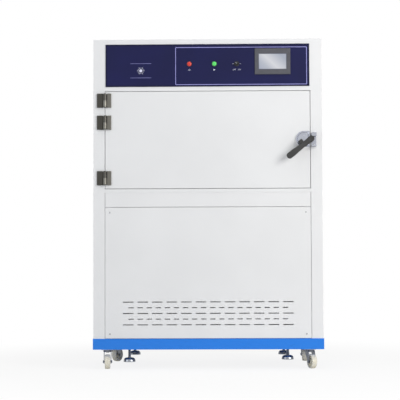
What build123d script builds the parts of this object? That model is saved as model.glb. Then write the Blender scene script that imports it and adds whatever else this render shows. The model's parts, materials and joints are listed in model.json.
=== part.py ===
from build123d import *
import math
import os

# A floor-standing ultraviolet ageing chamber, in millimetres: X to the right of someone facing it,
# Y from the front to the back, Z up. The origin is on the floor, under the middle of its outline.

# Cabinet
cabinet_width = 1280.0
cabinet_depth = 600.0
sheet = 1.5
bend_radius = 2.0
stile_width = 64.0
lower_height = 813.0
rail_height = 80.0
sill_height = 24.0
middle_strip = 27.0
head_strip = 28.0
seat_gap = 0.3
return_lip = 18.0

# Base skirt
skirt_clearance = 110.0
skirt_height = 60.0
skirt_overhang = 3.0
skirt_wall = 3.0
skirt_flange = 28.0
gusset_length = 236.0
gusset_width = 134.0
gusset_thickness = 5.0
cross_member_width = 40.0
deck_thickness = 2.0

# Door
door_width = 1146.0
door_height = 544.0
door_gap = 3.0
door_thickness = 29.0
door_lip = 14.0
plug_depth = 24.0
plug_margin = 10.0
seal_height = 3.5
seal_width = 14.0

# Hinges
hinge_height = 79.0
hinge_from_door_top = (50.0, 174.0)
hinge_from_door_bottom = 58.5
barrel_radius = 9.5
barrel_standoff = 0.8
hinge_pin_radius = 3.5
frame_leaf_reach = 45.0
door_leaf_reach = 35.0
leaf_thickness = 8.0
leaf_bevel = 2.5
running_clearance = 0.05
knuckle_gap = 0.4
barrel_cap = 5.0
barrel_cap_step = 1.5

# Latch
latch_reach = 60.0
latch_base_width = 78.0
latch_base_height = 88.0
latch_base_flange = 4.0
latch_base_rise = 20.0
latch_edge_inset = 2.0
latch_pivot_from_edge = 20.5
latch_pivot_below_middle = 20.0
latch_base_above_middle = 2.0
lever_angle = 218.0
lever_head = 32.0
lever_head_radius = 17.0
lever_length = 138.0
lever_neck = 27.0
lever_neck_at = 30.0
lever_grip = 36.0
lever_grip_at = 98.0
lever_tip = 24.0
lever_thickness = 19.0
lever_edge_radius = 3.0
recess_size = (13.0, 8.0)
recess_depth = 1.5
pivot_radius = 6.0
pivot_engagement = 11.0
tongue_thickness = 6.0
tongue_width = 16.0
tongue_reach = 50.0
tongue_shoulder = 12.0
shoulder_start = 11.0
shoulder_width = 26.0
shoulder_reach = 34.0

# Keeper on the frame
keeper_width = 27.0
keeper_height = 78.0
keeper_plate = 3.0
keeper_from_opening = 4.0
keeper_post = 8.0
keeper_lip = 4.0
keeper_clearance = 0.6
keeper_above_tongue = 1.0
keeper_below_pivot = 22.0

# Chamber
chamber_width = 1100.0
chamber_height = 490.0
chamber_depth = 430.0
liner_wall = 1.2
liner_flange = 40.0
insulation_back = 40.0
insulation_top = 40.0
insulation_side = 78.0
rack_rail_leg = 24.0
rack_rail_wall = 2.0

# Lamps
lamp_count = 8
lamp_pitch = 44.0
lamp_radius = 19.0
lamp_length = 1047.0
lamp_drop = 45.0
first_lamp_setback = 48.0
holder_width = 42.0
holder_wall = 3.0
reflector_wall = 0.8
reflector_depth = 20.0
reflector_flat = 16.0
reflector_inset = 7.5

# Specimen rack
rack_below_lamps = 104.0
rack_bar = 20.0
rack_bar_thickness = 5.0
rack_setback = 40.0
rack_end_gap = 4.0
holder_count = 10
panel_holder_width = 100.0
panel_holder_length = 150.0
panel_holder_thickness = 5.0
panel_holder_pitch = 106.0
panel_holder_rim = 15.0
panel_rebate = 3.0
panel_thickness = 3.0
probe_radius = 3.0

# Water pan and its heater
pan_width = 1070.0
pan_length = 370.0
pan_height = 50.0
pan_wall = 1.2
pan_setback = 36.0
heater_radius = 5.0
heater_loop = 110.0
heater_above_pan = 14.0
heater_boss_radius = 16.0
heater_boss_length = 14.0

# Air circulation
fan_radius = 75.0
fan_width = 34.0
fan_blades = 10
fan_blade_thickness = 2.0
fan_hub_radius = 16.0
fan_shaft_radius = 6.0
fan_above_floor = 226.0
fan_cover_width = 700.0
fan_cover_height = 260.0
fan_cover_depth = 60.0
fan_cover_slot = 9.0
fan_cover_slot_length = 130.0
fan_cover_slots = 11
motor_radius = 48.0
motor_length = 70.0
motor_flange = 120.0
motor_flange_thickness = 6.0

# Control panel
control_width = 1143.0
control_height = 239.0
control_thickness = 2.5
control_overlap = 20.0
lamp_row_below_top = 112.0
power_lamp_x = -100.5
run_lamp_x = 39.5
selector_x = 165.0
display_x = 366.0
display_below_top = 100.0
display_width = 200.0
display_height = 146.0
display_bezel = 6.0
display_body_depth = 35.0
display_body_inset = 4.0
screen_width = 157.0
screen_height = 89.0
screen_thickness = 1.5
screen_recess = 2.0
collar_radius = 14.8
collar_thickness = 3.0
collar_neck_radius = 11.0
contact_block = 28.0
contact_depth = 38.0
collar_bore_depth = 14.0
lens_radius = 12.5
lens_rise = 7.0
lens_slope = 3.0
knob_radius = 11.0
knob_height = 17.0
knob_skirt = 5.0
knob_grip_width = 7.0
knob_shaft_radius = 4.0
knob_shaft_length = 12.0
knob_angle = 45.0

# Vent panel in the lower front
vent_gap = 2.0
rebate_depth = 8.0
rebate_flange = 40.0
slot_height = 5.0
slot_row_pitch = 31.6
slot_rows = 5
slot_first_row = 77.0
long_slot = 59.0
long_slot_pitch = 81.0
long_slot_count = 12
short_slot = 30.0
short_slot_pitch = 50.5
short_slot_count = 18
screw_side_inset = 26.0
screw_top_inset = 28.0
screw_bottom_inset = 24.0
screw_head_radius = 4.5
screw_head_height = 2.6
screw_shank_radius = 2.5
screw_shank_length = 14.0

# Back panels
back_slot_length = 100.0
back_slot_pitch = 130.0
back_slot_row_pitch = 24.0
back_slot_columns = 5
back_slot_margin = 40.0
lower_slot_rows = 5
upper_slot_rows = 3

# Fittings at the back
fitting_reach = 40.0
fitting_x = 470.0
fitting_pitch = 90.0
fitting_above_skirt = 90.0
fitting_flange_radius = 20.0
fitting_flange = 6.0
inlet_radius = 10.5
drain_radius = 8.0
gland_radius = 16.0
gland_bore = 7.0
spigot_radius = 9.0
spigot_length = 16.0

# Casters
caster_inset_x = 73.0
caster_inset_y = 75.0
caster_plate_length = 92.0
caster_plate_width = 72.0
caster_plate_thickness = 3.0
wheel_radius = 40.0
wheel_width = 32.0
wheel_web = 7.0
wheel_rim = 9.0
tread_slope = 3.0
wheel_trail = 30.0
race_radius = 24.0
race_height = 7.0
kingpin_radius = 6.0
kingpin_head_radius = 9.0
kingpin_head_height = 4.5
crown_height = 9.4
crown_radius = 25.0
fork_wall = 3.0
fork_side_gap = 2.0
axle_radius = 5.0
axle_boss = 12.0
axle_head = 5.0
axle_head_radius = 8.0
swivel_angles = {"front_left": 4.0, "front_right": 21.0, "rear_left": 150.0, "rear_right": 172.0}

# Levelling feet
foot_inset_x = 196.0
foot_inset_y = 75.0
foot_heights = {"front_left": 37.0, "front_right": 49.0, "rear_left": 42.0, "rear_right": 42.0}
foot_pad_radius = 34.0
foot_pad_rim = 6.0
foot_pad_height = 24.0
foot_stem_radius = 8.0
foot_stem_length = 145.0
foot_neck_radius = 12.0
foot_boss_radius = 15.0
foot_boss_height = 12.0
foot_nut_across = 24.0
foot_nut_height = 8.0
deck_hole = 26.0

# Equipment in the lower compartment
tank_width = 340.0
tank_length = 260.0
tank_height = 300.0
tank_x = 240.0
tank_corner = 25.0
tank_neck_radius = 35.0
tank_neck_height = 25.0
pump_radius = 38.0
pump_length = 120.0
pump_x = -30.0
pump_setback = 90.0
pump_foot_width = 70.0
pump_foot_height = 12.0
plate_width = 520.0
plate_height = 420.0
plate_thickness = 3.0
plate_x = -300.0
plate_foot = 60.0
plate_setback = 300.0
ballast_count = 8
ballast_length = 150.0
ballast_height = 38.0
ballast_depth = 30.0
ballast_pitch_x = 170.0
ballast_pitch_z = 62.0
breaker_width = 54.0
breaker_height = 85.0
breaker_depth = 65.0

# Places worked out from the sizes
half_width = cabinet_width / 2
front_y = (latch_reach - cabinet_depth - fitting_reach) / 2
back_y = front_y + cabinet_depth
skirt_top = skirt_clearance + skirt_height
seam_z = skirt_top + lower_height
door_bottom = seam_z + sill_height
door_top = door_bottom + door_height
door_middle = (door_bottom + door_top) / 2
control_bottom = door_top + middle_strip
control_top = control_bottom + control_height
top_z = control_top + head_strip
opening_half = half_width - stile_width
bay_half = opening_half - bend_radius - seat_gap
chamber_front = front_y + door_thickness + liner_wall + seal_height + seat_gap
chamber_back = chamber_front + chamber_depth
chamber_floor = door_middle - chamber_height / 2
chamber_ceiling = door_middle + chamber_height / 2
chamber_half = chamber_width / 2
lamp_z = chamber_ceiling - lamp_drop
rack_z = lamp_z - rack_below_lamps
hinge_x = -(door_width + door_gap) / 2
hinge_y = front_y - barrel_radius - barrel_standoff
hinge_levels = [door_top - drop for drop in hinge_from_door_top] + [door_bottom + hinge_from_door_bottom]
latch_edge = door_width / 2 - latch_edge_inset
pivot_x = door_width / 2 - latch_pivot_from_edge
pivot_z = door_middle - latch_pivot_below_middle
tongue_y = front_y - latch_base_rise - seat_gap
tongue_front_y = tongue_y - tongue_thickness
lip_back_y = tongue_front_y - keeper_clearance
lip_front_y = lip_back_y - keeper_lip
lever_back_y = lip_front_y - keeper_clearance
keeper_x = opening_half + keeper_from_opening
tongue_top_z = pivot_z + tongue_width / 2 + (tongue_reach - tongue_width / 2) * math.sin(math.radians(lever_angle - 180))
panel_front_y = front_y - control_thickness
lower_back_y = back_y - sheet
lamp_row_z = control_top - lamp_row_below_top
display_z = control_top - display_below_top
vent_bottom = skirt_top + vent_gap
vent_top = seam_z - rail_height - vent_gap
caster_top = skirt_clearance + caster_plate_thickness
deck_top = skirt_top + deck_thickness
corners = {"front_left": (-1, -1), "front_right": (1, -1), "rear_left": (-1, 1), "rear_right": (1, 1)}


def block(x0, x1, y0, y1, z0, z1):
    """A box between two corners."""
    middle = ((x0 + x1) / 2, (y0 + y1) / 2, (z0 + z1) / 2)
    return Pos(*middle) * Box(x1 - x0, y1 - y0, z1 - z0)


def post(x, y, z0, z1, radius):
    """An upright round bar."""
    return Pos(x, y, (z0 + z1) / 2) * Cylinder(radius, z1 - z0)


def bar_y(x, z, y0, y1, radius):
    """A round bar that runs from front to back."""
    return Pos(x, (y0 + y1) / 2, z) * Rot(90, 0, 0) * Cylinder(radius, y1 - y0)


def bar_x(y, z, x0, x1, radius):
    """A round bar that runs from left to right."""
    return Pos((x0 + x1) / 2, y, z) * Rot(0, 90, 0) * Cylinder(radius, x1 - x0)


def bent_sheet(points, thickness, radius, plane, length):
    """A folded sheet: its outer line, bent with one radius, thickened to the left and extruded along the plane's normal."""
    line = FilletPolyline(*points, radius=radius)
    outline = make_face(offset(line, amount=thickness, side=Side.LEFT).edges())
    return extrude(plane * outline, amount=length)


def pan(x0, x1, y0, y1, z0, z1, wall, open_face):
    """A sheet box with one open face."""
    outer = block(x0, x1, y0, y1, z0, z1)
    faces = {"back": Axis.Y, "up": Axis.Z, "front": Axis.Y}
    picked = outer.faces().sort_by(faces[open_face])
    opened = picked[0] if open_face == "front" else picked[-1]
    return offset(outer, amount=-wall, openings=[opened])


def corner_x(side, inset):
    return side * (half_width - inset)


def corner_y(side, inset):
    return front_y + inset if side < 0 else back_y - inset


# Base


def base_frame():
    """The welded skirt: a channel all round, two cross members, and a gusset with a threaded boss at each corner."""
    out_x = half_width + skirt_overhang
    out_y0, out_y1 = front_y - skirt_overhang, back_y + skirt_overhang
    middle_y = (out_y0 + out_y1) / 2
    width, depth = 2 * out_x, out_y1 - out_y0
    outer = Rectangle(width, depth)
    web = outer - Rectangle(width - 2 * skirt_wall, depth - 2 * skirt_wall)
    flange = outer - Rectangle(width - 2 * skirt_flange, depth - 2 * skirt_flange)
    frame = Pos(0, middle_y, skirt_clearance) * extrude(web, amount=skirt_height)
    frame += Pos(0, middle_y, skirt_clearance) * extrude(flange, amount=skirt_wall)
    frame += Pos(0, middle_y, skirt_top - skirt_wall) * extrude(flange, amount=skirt_wall)
    for side in (-1, 1):
        x = side * (half_width - foot_inset_x - gusset_length / 3) - side * cross_member_width
        frame += block(
            x - cross_member_width / 2, x + cross_member_width / 2,
            out_y0 + skirt_wall, out_y1 - skirt_wall,
            skirt_clearance + skirt_wall, skirt_top - skirt_wall,
        )
    gusset_z = caster_top
    for side_x, side_y in corners.values():
        edge_x = side_x * (out_x - skirt_wall)
        edge_y = out_y0 + skirt_wall if side_y < 0 else out_y1 - skirt_wall
        far_x, far_y = edge_x - side_x * gusset_length, edge_y - side_y * gusset_width
        frame += block(
            min(edge_x, far_x), max(edge_x, far_x), min(edge_y, far_y), max(edge_y, far_y),
            gusset_z, gusset_z + gusset_thickness,
        )
        x, y = corner_x(side_x, foot_inset_x), corner_y(side_y, foot_inset_y)
        boss_top = gusset_z + gusset_thickness + foot_boss_height
        boss = extrude(RegularPolygon(foot_boss_radius, 6), amount=boss_top - gusset_z)
        frame += Pos(x, y, gusset_z) * boss
        frame -= post(x, y, gusset_z - 1, boss_top + 1, foot_stem_radius + running_clearance)
    return frame


def machine_deck():
    """The floor of the lower compartment, with a hole over each levelling foot."""
    deck = block(
        -half_width + 2 * sheet, half_width - 2 * sheet,
        front_y + rebate_depth + 2 * sheet, lower_back_y - sheet - seat_gap, skirt_top, deck_top,
    )
    for side_x, side_y in corners.values():
        x, y = corner_x(side_x, foot_inset_x), corner_y(side_y, foot_inset_y)
        deck -= Pos(x, y, deck_top) * Box(deck_hole, deck_hole, 4 * deck_thickness)
    return deck


def caster_plate(name):
    """A caster's fixed top plate with its ball race and kingpin."""
    side_x, side_y = corners[name]
    x, y = corner_x(side_x, caster_inset_x), corner_y(side_y, caster_inset_y)
    plate = Rectangle(caster_plate_length, caster_plate_width)
    part = Pos(x, y, skirt_clearance) * extrude(plate, amount=caster_plate_thickness)
    race_bottom = skirt_clearance - race_height
    crown_bottom = race_bottom - seat_gap - crown_height
    head_top = crown_bottom - seat_gap
    part += post(x, y, race_bottom, skirt_clearance, race_radius)
    part += post(x, y, head_top, race_bottom, kingpin_radius)
    nut = extrude(RegularPolygon(kingpin_head_radius, 6), amount=-kingpin_head_height)
    return part + Pos(x, y, head_top) * nut


def caster_fork(name):
    """The swivelling fork and its axle bolt, as two solids, trailing by the wheel's offset."""
    side_x, side_y = corners[name]
    crown_top = skirt_clearance - race_height - seat_gap
    crown_bottom = crown_top - crown_height
    inner = wheel_width / 2 + fork_side_gap
    outer = inner + fork_wall
    outline = make_hull(
        (Pos(-wheel_trail, wheel_radius) * Circle(axle_boss)).edges()
        + (Pos(0, crown_bottom + 3) * Rectangle(2 * crown_radius - 6, 6)).edges()
    )
    legs = extrude(Plane.YZ.offset(-outer) * outline, amount=2 * outer)
    legs -= block(-inner, inner, -wheel_trail - 60, 60, 0, crown_bottom)
    fork = legs + post(0, 0, crown_bottom, crown_top, crown_radius)
    fork -= post(0, 0, crown_bottom - 1, crown_top + 1, kingpin_radius + running_clearance)
    fork -= bar_x(-wheel_trail, wheel_radius, -outer - 1, outer + 1, axle_radius)
    axle = bar_x(-wheel_trail, wheel_radius, -outer - axle_head, outer + axle_head, axle_radius)
    for x in (-outer - axle_head, outer):
        head = extrude(Plane.YZ * RegularPolygon(axle_head_radius, 6), amount=axle_head)
        axle += Pos(x, -wheel_trail, wheel_radius) * head
    place = Pos(corner_x(side_x, caster_inset_x), corner_y(side_y, caster_inset_y), 0)
    return [place * Rot(0, 0, swivel_angles[name]) * piece for piece in (fork, axle)]


def caster_wheel(name):
    """A moulded wheel with a hub, a dished web and a crowned tread."""
    side_x, side_y = corners[name]
    half = wheel_width / 2
    hub_end = half + fork_side_gap - seat_gap
    bore = axle_radius + running_clearance
    upper = [
        (bore, hub_end), (axle_boss, hub_end), (axle_boss, wheel_web),
        (wheel_radius - wheel_rim, wheel_web), (wheel_radius - wheel_rim, half), (wheel_radius, half - tread_slope),
    ]
    lower = [(x, -z) for x, z in reversed(upper)]
    profile = make_face(Polyline(*upper, *lower, close=True))
    wheel = revolve(Plane.XZ * profile, Axis.Z)
    wheel = Pos(0, -wheel_trail, wheel_radius) * Rot(0, 90, 0) * wheel
    place = Pos(corner_x(side_x, caster_inset_x), corner_y(side_y, caster_inset_y), 0)
    return place * Rot(0, 0, swivel_angles[name]) * wheel


def levelling_foot(name):
    """A bell-shaped pad under a long stem that screws through the base."""
    side_x, side_y = corners[name]
    x, y = corner_x(side_x, foot_inset_x), corner_y(side_y, foot_inset_y)
    z = foot_heights[name]
    points = [
        (0, 0),
        (foot_pad_radius, 0),
        (foot_pad_radius, foot_pad_rim),
        (foot_neck_radius, foot_pad_height),
        (foot_stem_radius, foot_pad_height),
        (foot_stem_radius, foot_stem_length),
        (0, foot_stem_length),
    ]
    return Pos(x, y, z) * revolve(Plane.XZ * make_face(Polyline(*points, close=True)), Axis.Z)


def foot_nut(name):
    side_x, side_y = corners[name]
    x, y = corner_x(side_x, foot_inset_x), corner_y(side_y, foot_inset_y)
    z = caster_top + gusset_thickness + foot_boss_height
    nut = RegularPolygon(foot_nut_across / 2, 6, major_radius=False) - Circle(foot_stem_radius + running_clearance)
    return Pos(x, y, z) * extrude(nut, amount=foot_nut_height)


# Lower cabinet


def lower_side(side):
    """A side panel folded round into the front stile, its rebate flange and a back flange."""
    points = [
        (side * (opening_half - rebate_flange), front_y + rebate_depth),
        (side * opening_half, front_y + rebate_depth),
        (side * opening_half, front_y),
        (side * half_width, front_y),
        (side * half_width, back_y),
        (side * (half_width - return_lip), back_y),
    ]
    place = Plane.XY.offset(skirt_top)
    panel = bent_sheet(points if side > 0 else points[::-1], sheet, bend_radius, place, lower_height)
    for x, z in vent_screw_places():
        panel -= bar_y(x, z, front_y, front_y + 2 * rebate_depth, screw_shank_radius + seat_gap)
    return panel


def cross_rail():
    """The channel across the front above the vent panel."""
    bottom = seam_z - rail_height
    back = front_y + rebate_depth
    points = [(back, seam_z), (front_y, seam_z), (front_y, bottom), (back, bottom)]
    length = 2 * bay_half
    return bent_sheet(points, sheet, bend_radius, Plane.YZ.offset(-length / 2), length)


def vent_panel():
    """The lift-off lower front: a shallow pan with rows of long and short slots."""
    panel = pan(-bay_half, bay_half, front_y, front_y + rebate_depth, vent_bottom, vent_top, sheet, "back")
    for row in range(slot_rows):
        z = vent_bottom - vent_gap + slot_first_row + row * slot_row_pitch
        long_row = row % 2 == 0
        count = long_slot_count if long_row else short_slot_count
        pitch = long_slot_pitch if long_row else short_slot_pitch
        length = long_slot if long_row else short_slot
        cutter = Box(length, 4 * sheet, slot_height)
        for column in range(count):
            panel -= Pos((column - (count - 1) / 2) * pitch, front_y, z) * cutter
    for x, z in vent_screw_places():
        panel -= bar_y(x, z, front_y - 1, front_y + 2 * sheet, screw_shank_radius + seat_gap)
    return panel


def vent_screw_places():
    half = bay_half - screw_side_inset
    return [(x, z) for x in (-half, half) for z in (vent_bottom + screw_bottom_inset, vent_top - screw_top_inset)]


def panel_screw(x, z):
    """A round-headed screw with its shank through the vent panel."""
    head = post(0, 0, 0, screw_head_height, screw_head_radius)
    head += post(0, 0, -screw_shank_length, 0, screw_shank_radius)
    return Pos(x, front_y, z) * Rot(90, 0, 0) * head


def back_panel(half, outer_y, z0, z1, rows, slots_z):
    """A flat back panel with a block of cooling slots."""
    panel = block(-half, half, outer_y - sheet, outer_y, z0, z1)
    for row in range(rows):
        for column in range(back_slot_columns):
            x = (column - (back_slot_columns - 1) / 2) * back_slot_pitch
            cutter = Box(back_slot_length, 4 * sheet, slot_height)
            panel -= Pos(x, outer_y, slots_z + row * back_slot_row_pitch) * cutter
    return panel


def lower_back():
    half = half_width - bend_radius - seat_gap
    middle = (skirt_top + seam_z) / 2
    panel = back_panel(half, lower_back_y, deck_top, seam_z, lower_slot_rows, middle)
    for x, z in fitting_places():
        panel -= bar_y(x, z, lower_back_y - 2 * sheet, back_y + 1, spigot_radius + seat_gap)
    return panel


# Upper cabinet


def upper_wrapper():
    """Left side, top and right side in one folded sheet."""
    points = [
        (-half_width + return_lip, seam_z),
        (-half_width, seam_z),
        (-half_width, top_z),
        (half_width, top_z),
        (half_width, seam_z),
        (half_width - return_lip, seam_z),
    ]
    start = Plane.XZ.offset(sheet - back_y)
    return bent_sheet(points[::-1], sheet, bend_radius, start, cabinet_depth - 2 * sheet)


def front_fascia():
    """The upper front sheet, with the door opening's deep jamb and the opening behind the control panel."""
    fascia = block(-half_width, half_width, front_y, front_y + sheet, seam_z, top_z)
    jamb_x, jamb_z0, jamb_z1 = opening_half + sheet, door_bottom - door_gap - sheet, door_top + door_gap + sheet
    fascia += block(-jamb_x, jamb_x, front_y, chamber_front, jamb_z0, jamb_z1)
    fascia -= block(
        -opening_half, opening_half, front_y - 1, chamber_front + 1, jamb_z0 + sheet, jamb_z1 - sheet,
    )
    half = control_width / 2 - control_overlap
    fascia -= block(
        -half, half, front_y - 1, front_y + 2 * sheet,
        control_bottom + control_overlap, control_top - control_overlap,
    )
    return fascia


def upper_back():
    """The upper back panel, over the whole of the wrapper's rear edge."""
    return back_panel(half_width, back_y, seam_z, top_z, upper_slot_rows, control_bottom + back_slot_margin)


def chamber_deck():
    """The folded floor sheet of the upper cabinet, which carries the chamber."""
    half = half_width - bend_radius - seat_gap
    y0, y1 = front_y + sheet + seat_gap, back_y - sheet - seat_gap
    return block(-half, half, y0, y1, seam_z + sheet, seam_z + 2 * sheet)


# Chamber


def chamber_liner():
    """The stainless working space: a welded box with a front flange, a ledge on each side wall and a shaft hole."""
    outer = block(
        -chamber_half - liner_wall, chamber_half + liner_wall, chamber_front, chamber_back + liner_wall,
        chamber_floor - liner_wall, chamber_ceiling + liner_wall,
    )
    flange_x = opening_half + return_lip
    flange_z0, flange_z1 = door_bottom - door_gap - sheet - 6, door_top + door_gap + sheet + 8
    liner = outer + block(-flange_x, flange_x, chamber_front, chamber_front + liner_wall, flange_z0, flange_z1)
    liner -= block(
        -chamber_half, chamber_half, chamber_front - 1, chamber_back, chamber_floor, chamber_ceiling,
    )
    y0, y1 = chamber_front + rack_setback, chamber_back - fan_cover_depth - rack_rail_wall
    for side in (-1, 1):
        x0, x1 = side * chamber_half, side * (chamber_half - rack_rail_leg)
        ledge_x0, ledge_x1 = min(x0, x1), max(x0, x1)
        liner += block(ledge_x0, ledge_x1, y0, y1, rack_z - rack_rail_wall, rack_z)
    liner -= bar_y(0, chamber_floor + fan_above_floor, chamber_back - 1, chamber_back + 3, fan_shaft_radius + 1)
    return liner


def insulation():
    """The glass-wool jacket round the liner, open at the front, with a passage for the fan shaft."""
    y0 = chamber_front + liner_wall
    y1 = chamber_back + liner_wall + insulation_back
    x1 = chamber_half + liner_wall + insulation_side
    z0 = seam_z + 2 * sheet
    z1 = chamber_ceiling + liner_wall + insulation_top
    jacket = block(-x1, x1, y0, y1, z0, z1)
    jacket -= block(
        -chamber_half - liner_wall, chamber_half + liner_wall, y0 - 1, chamber_back + liner_wall,
        chamber_floor - liner_wall, chamber_ceiling + liner_wall,
    )
    return jacket - bar_y(0, chamber_floor + fan_above_floor, chamber_back, y1 + 1, fan_shaft_radius + 4)


def water_pan():
    """The tray on the chamber floor whose warm water makes the condensation."""
    y0 = chamber_front + pan_setback
    return pan(
        -pan_width / 2, pan_width / 2, y0, y0 + pan_length,
        chamber_floor, chamber_floor + pan_height, pan_wall, "up",
    )


def pan_heater():
    """An immersed U-shaped heating tube on two hexagonal bosses at the pan's right end."""
    end_x = pan_width / 2 - pan_wall
    y = chamber_front + pan_setback + pan_length / 2
    z = chamber_floor + pan_wall + heater_above_pan + heater_boss_radius - heater_radius
    half = heater_loop / 2
    start_x = end_x - heater_boss_length
    turn_x = -end_x + 2 * half
    path = Polyline((start_x, y - half, z), (turn_x, y - half, z), (turn_x, y + half, z), (start_x, y + half, z))
    tube = Plane(origin=path @ 0, z_dir=path % 0) * Circle(heater_radius)
    heater = sweep(tube, path=path, transition=Transition.RIGHT)
    boss = extrude(Plane.YZ * RegularPolygon(heater_boss_radius, 6), amount=heater_boss_length)
    for side in (-1, 1):
        heater += Pos(start_x, y + side * half, z) * boss
    return heater


def lamp_lines():
    return [chamber_front + first_lamp_setback + row * lamp_pitch for row in range(lamp_count)]


def uv_lamp(y):
    return bar_x(y, lamp_z, -lamp_length / 2, lamp_length / 2, lamp_radius)


def lamp_holder(y, side):
    """A moulded end holder that hangs from the ceiling against the side wall."""
    half, nose = holder_width / 2, lamp_radius + holder_wall
    points = [
        (-half, lamp_drop), (half, lamp_drop), (half, -nose / 2), (half / 2, -nose), (-half / 2, -nose), (-half, -nose / 2),
    ]
    profile = make_face(Polyline(*points, close=True))
    inner, outer = lamp_length / 2, chamber_half
    holder = extrude(Plane.YZ * profile, amount=outer - inner)
    return Pos(inner if side > 0 else -outer, y, lamp_z) * holder


def lamp_reflector():
    """The bright pressed sheet over the lamps, with a trough above each lamp."""
    top = chamber_ceiling
    low = top - reflector_depth
    points = []
    for y in lamp_lines():
        points += [(y - lamp_pitch / 2, low), (y - reflector_flat / 2, top), (y + reflector_flat / 2, top)]
    points.append((lamp_lines()[-1] + lamp_pitch / 2, low))
    inside = [(y, z - reflector_wall) for y, z in reversed(points)]
    half = lamp_length / 2 - reflector_inset
    return extrude(Plane.YZ.offset(-half) * make_face(Polyline(*points, *inside, close=True)), amount=2 * half)


def rack_rows():
    """Where the two rows of specimen holders start, front to back."""
    first = chamber_front + rack_setback + rack_bar / 4
    return [first, first + panel_holder_length + rack_bar / 2]


def specimen_rack():
    """The lift-out frame that stands on the side ledges and carries the specimen holders."""
    half = chamber_half - rack_end_gap
    y0 = chamber_front + rack_setback
    y1 = rack_rows()[1] + panel_holder_length + rack_bar / 4
    frame = block(-half, half, y0, y1, rack_z, rack_z + rack_bar_thickness)
    middle = (y0 + y1) / 2
    for start, end in ((y0 + rack_bar, middle - rack_bar / 2), (middle + rack_bar / 2, y1 - rack_bar)):
        frame -= block(-half + rack_bar, half - rack_bar, start, end, rack_z - 1, rack_z + rack_bar_thickness + 1)
    return frame


def holder_places():
    return [
        ((column - (holder_count - 1) / 2) * panel_holder_pitch, y + panel_holder_length / 2)
        for y in rack_rows() for column in range(holder_count)
    ]


def specimen_holder(x, y):
    """A frame with a window, rebated below for the specimen."""
    window = (panel_holder_width - 2 * panel_holder_rim, panel_holder_length - 2 * panel_holder_rim)
    holder = Box(panel_holder_width, panel_holder_length, panel_holder_thickness)
    holder -= Box(window[0] - 6, window[1] - 6, panel_holder_thickness + 2)
    rebate_z = -(panel_holder_thickness - panel_rebate) / 2
    holder -= Pos(0, 0, rebate_z) * Box(window[0], window[1], panel_rebate)
    return Pos(x, y, rack_z + rack_bar_thickness + panel_holder_thickness / 2) * holder


def specimen(x, y):
    width = panel_holder_width - 2 * panel_holder_rim - seat_gap
    length = panel_holder_length - 2 * panel_holder_rim - seat_gap
    z = rack_z + rack_bar_thickness
    return Pos(x, y, z + panel_thickness / 2) * Box(width, length, panel_thickness)


def black_panel_probe():
    """The black reference panel in the front right holder, with its sensor tube to the side wall."""
    x, y = holder_places()[holder_count - 1]
    z = rack_z + rack_bar_thickness + panel_holder_thickness + probe_radius
    plate = specimen(x, y)
    window_y = y + panel_holder_length / 2 - panel_holder_rim - 12
    stem = bar_x(window_y, z, x, chamber_half, probe_radius)
    foot = post(x, window_y, rack_z + rack_bar_thickness + panel_thickness, z, probe_radius)
    return plate + stem + foot


def fan_cover():
    """The guard box in front of the fan, with intake slots and open ends for the air."""
    z = chamber_floor + fan_above_floor
    y0 = chamber_back - fan_cover_depth
    cover = pan(
        -fan_cover_width / 2, fan_cover_width / 2, y0, chamber_back,
        z - fan_cover_height / 2, z + fan_cover_height / 2, liner_wall, "back",
    )
    for column in range(fan_cover_slots):
        x = (column - (fan_cover_slots - 1) / 2) * 2 * fan_cover_slot
        cover -= Pos(x, y0, z) * Box(fan_cover_slot, 4 * liner_wall, fan_cover_slot_length)
    for side in (-1, 1):
        end = Box(4 * liner_wall, fan_cover_depth * 0.6, fan_cover_height * 0.7)
        cover -= Pos(side * fan_cover_width / 2, chamber_back - fan_cover_depth / 2, z) * end
    return cover


def fan_impeller():
    """A radial-blade fan wheel on its shaft."""
    z = chamber_floor + fan_above_floor
    y1 = chamber_back - 8
    y0 = y1 - fan_width
    shaft_end = chamber_back + liner_wall + insulation_back + motor_flange_thickness + 14
    plate = bar_y(0, z, y1 - 2, y1, fan_radius)
    wheel = plate + bar_y(0, z, y0, y1, fan_hub_radius) + bar_y(0, z, y1 - 1, shaft_end, fan_shaft_radius)
    reach = fan_radius - fan_hub_radius + 3
    blade = Pos(fan_radius - reach / 2 - 1, 0, 0) * Box(reach, fan_width, fan_blade_thickness)
    for turn in range(fan_blades):
        wheel += Pos(0, (y0 + y1) / 2, z) * Rot(0, turn * 360 / fan_blades, 0) * blade
    return wheel


def fan_motor():
    """The motor behind the insulation, flanged to it, with the bearing bore that the fan shaft runs in."""
    z = chamber_floor + fan_above_floor
    y0 = chamber_back + liner_wall + insulation_back
    y1 = y0 + motor_flange_thickness
    motor = block(-motor_flange / 2, motor_flange / 2, y0, y1, z - motor_flange / 2, z + motor_flange / 2)
    motor += bar_y(0, z, y1, y1 + motor_length, motor_radius)
    return motor - bar_y(0, z, y0 - 1, y1 + 15, fan_shaft_radius + running_clearance)


# Door


def door_skin():
    """The painted outer pan of the door with an inturned lip round its back."""
    half = door_width / 2
    z0, z1 = door_bottom, door_top
    skin = pan(-half, half, front_y, front_y + door_thickness, z0, z1, sheet, "back")
    lip_y = front_y + door_thickness - sheet
    lip = block(-half, half, lip_y, lip_y + sheet, z0, z1)
    lip -= block(-half + door_lip, half - door_lip, lip_y - 1, lip_y + sheet + 1, z0 + door_lip, z1 - door_lip)
    return skin + lip


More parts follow.
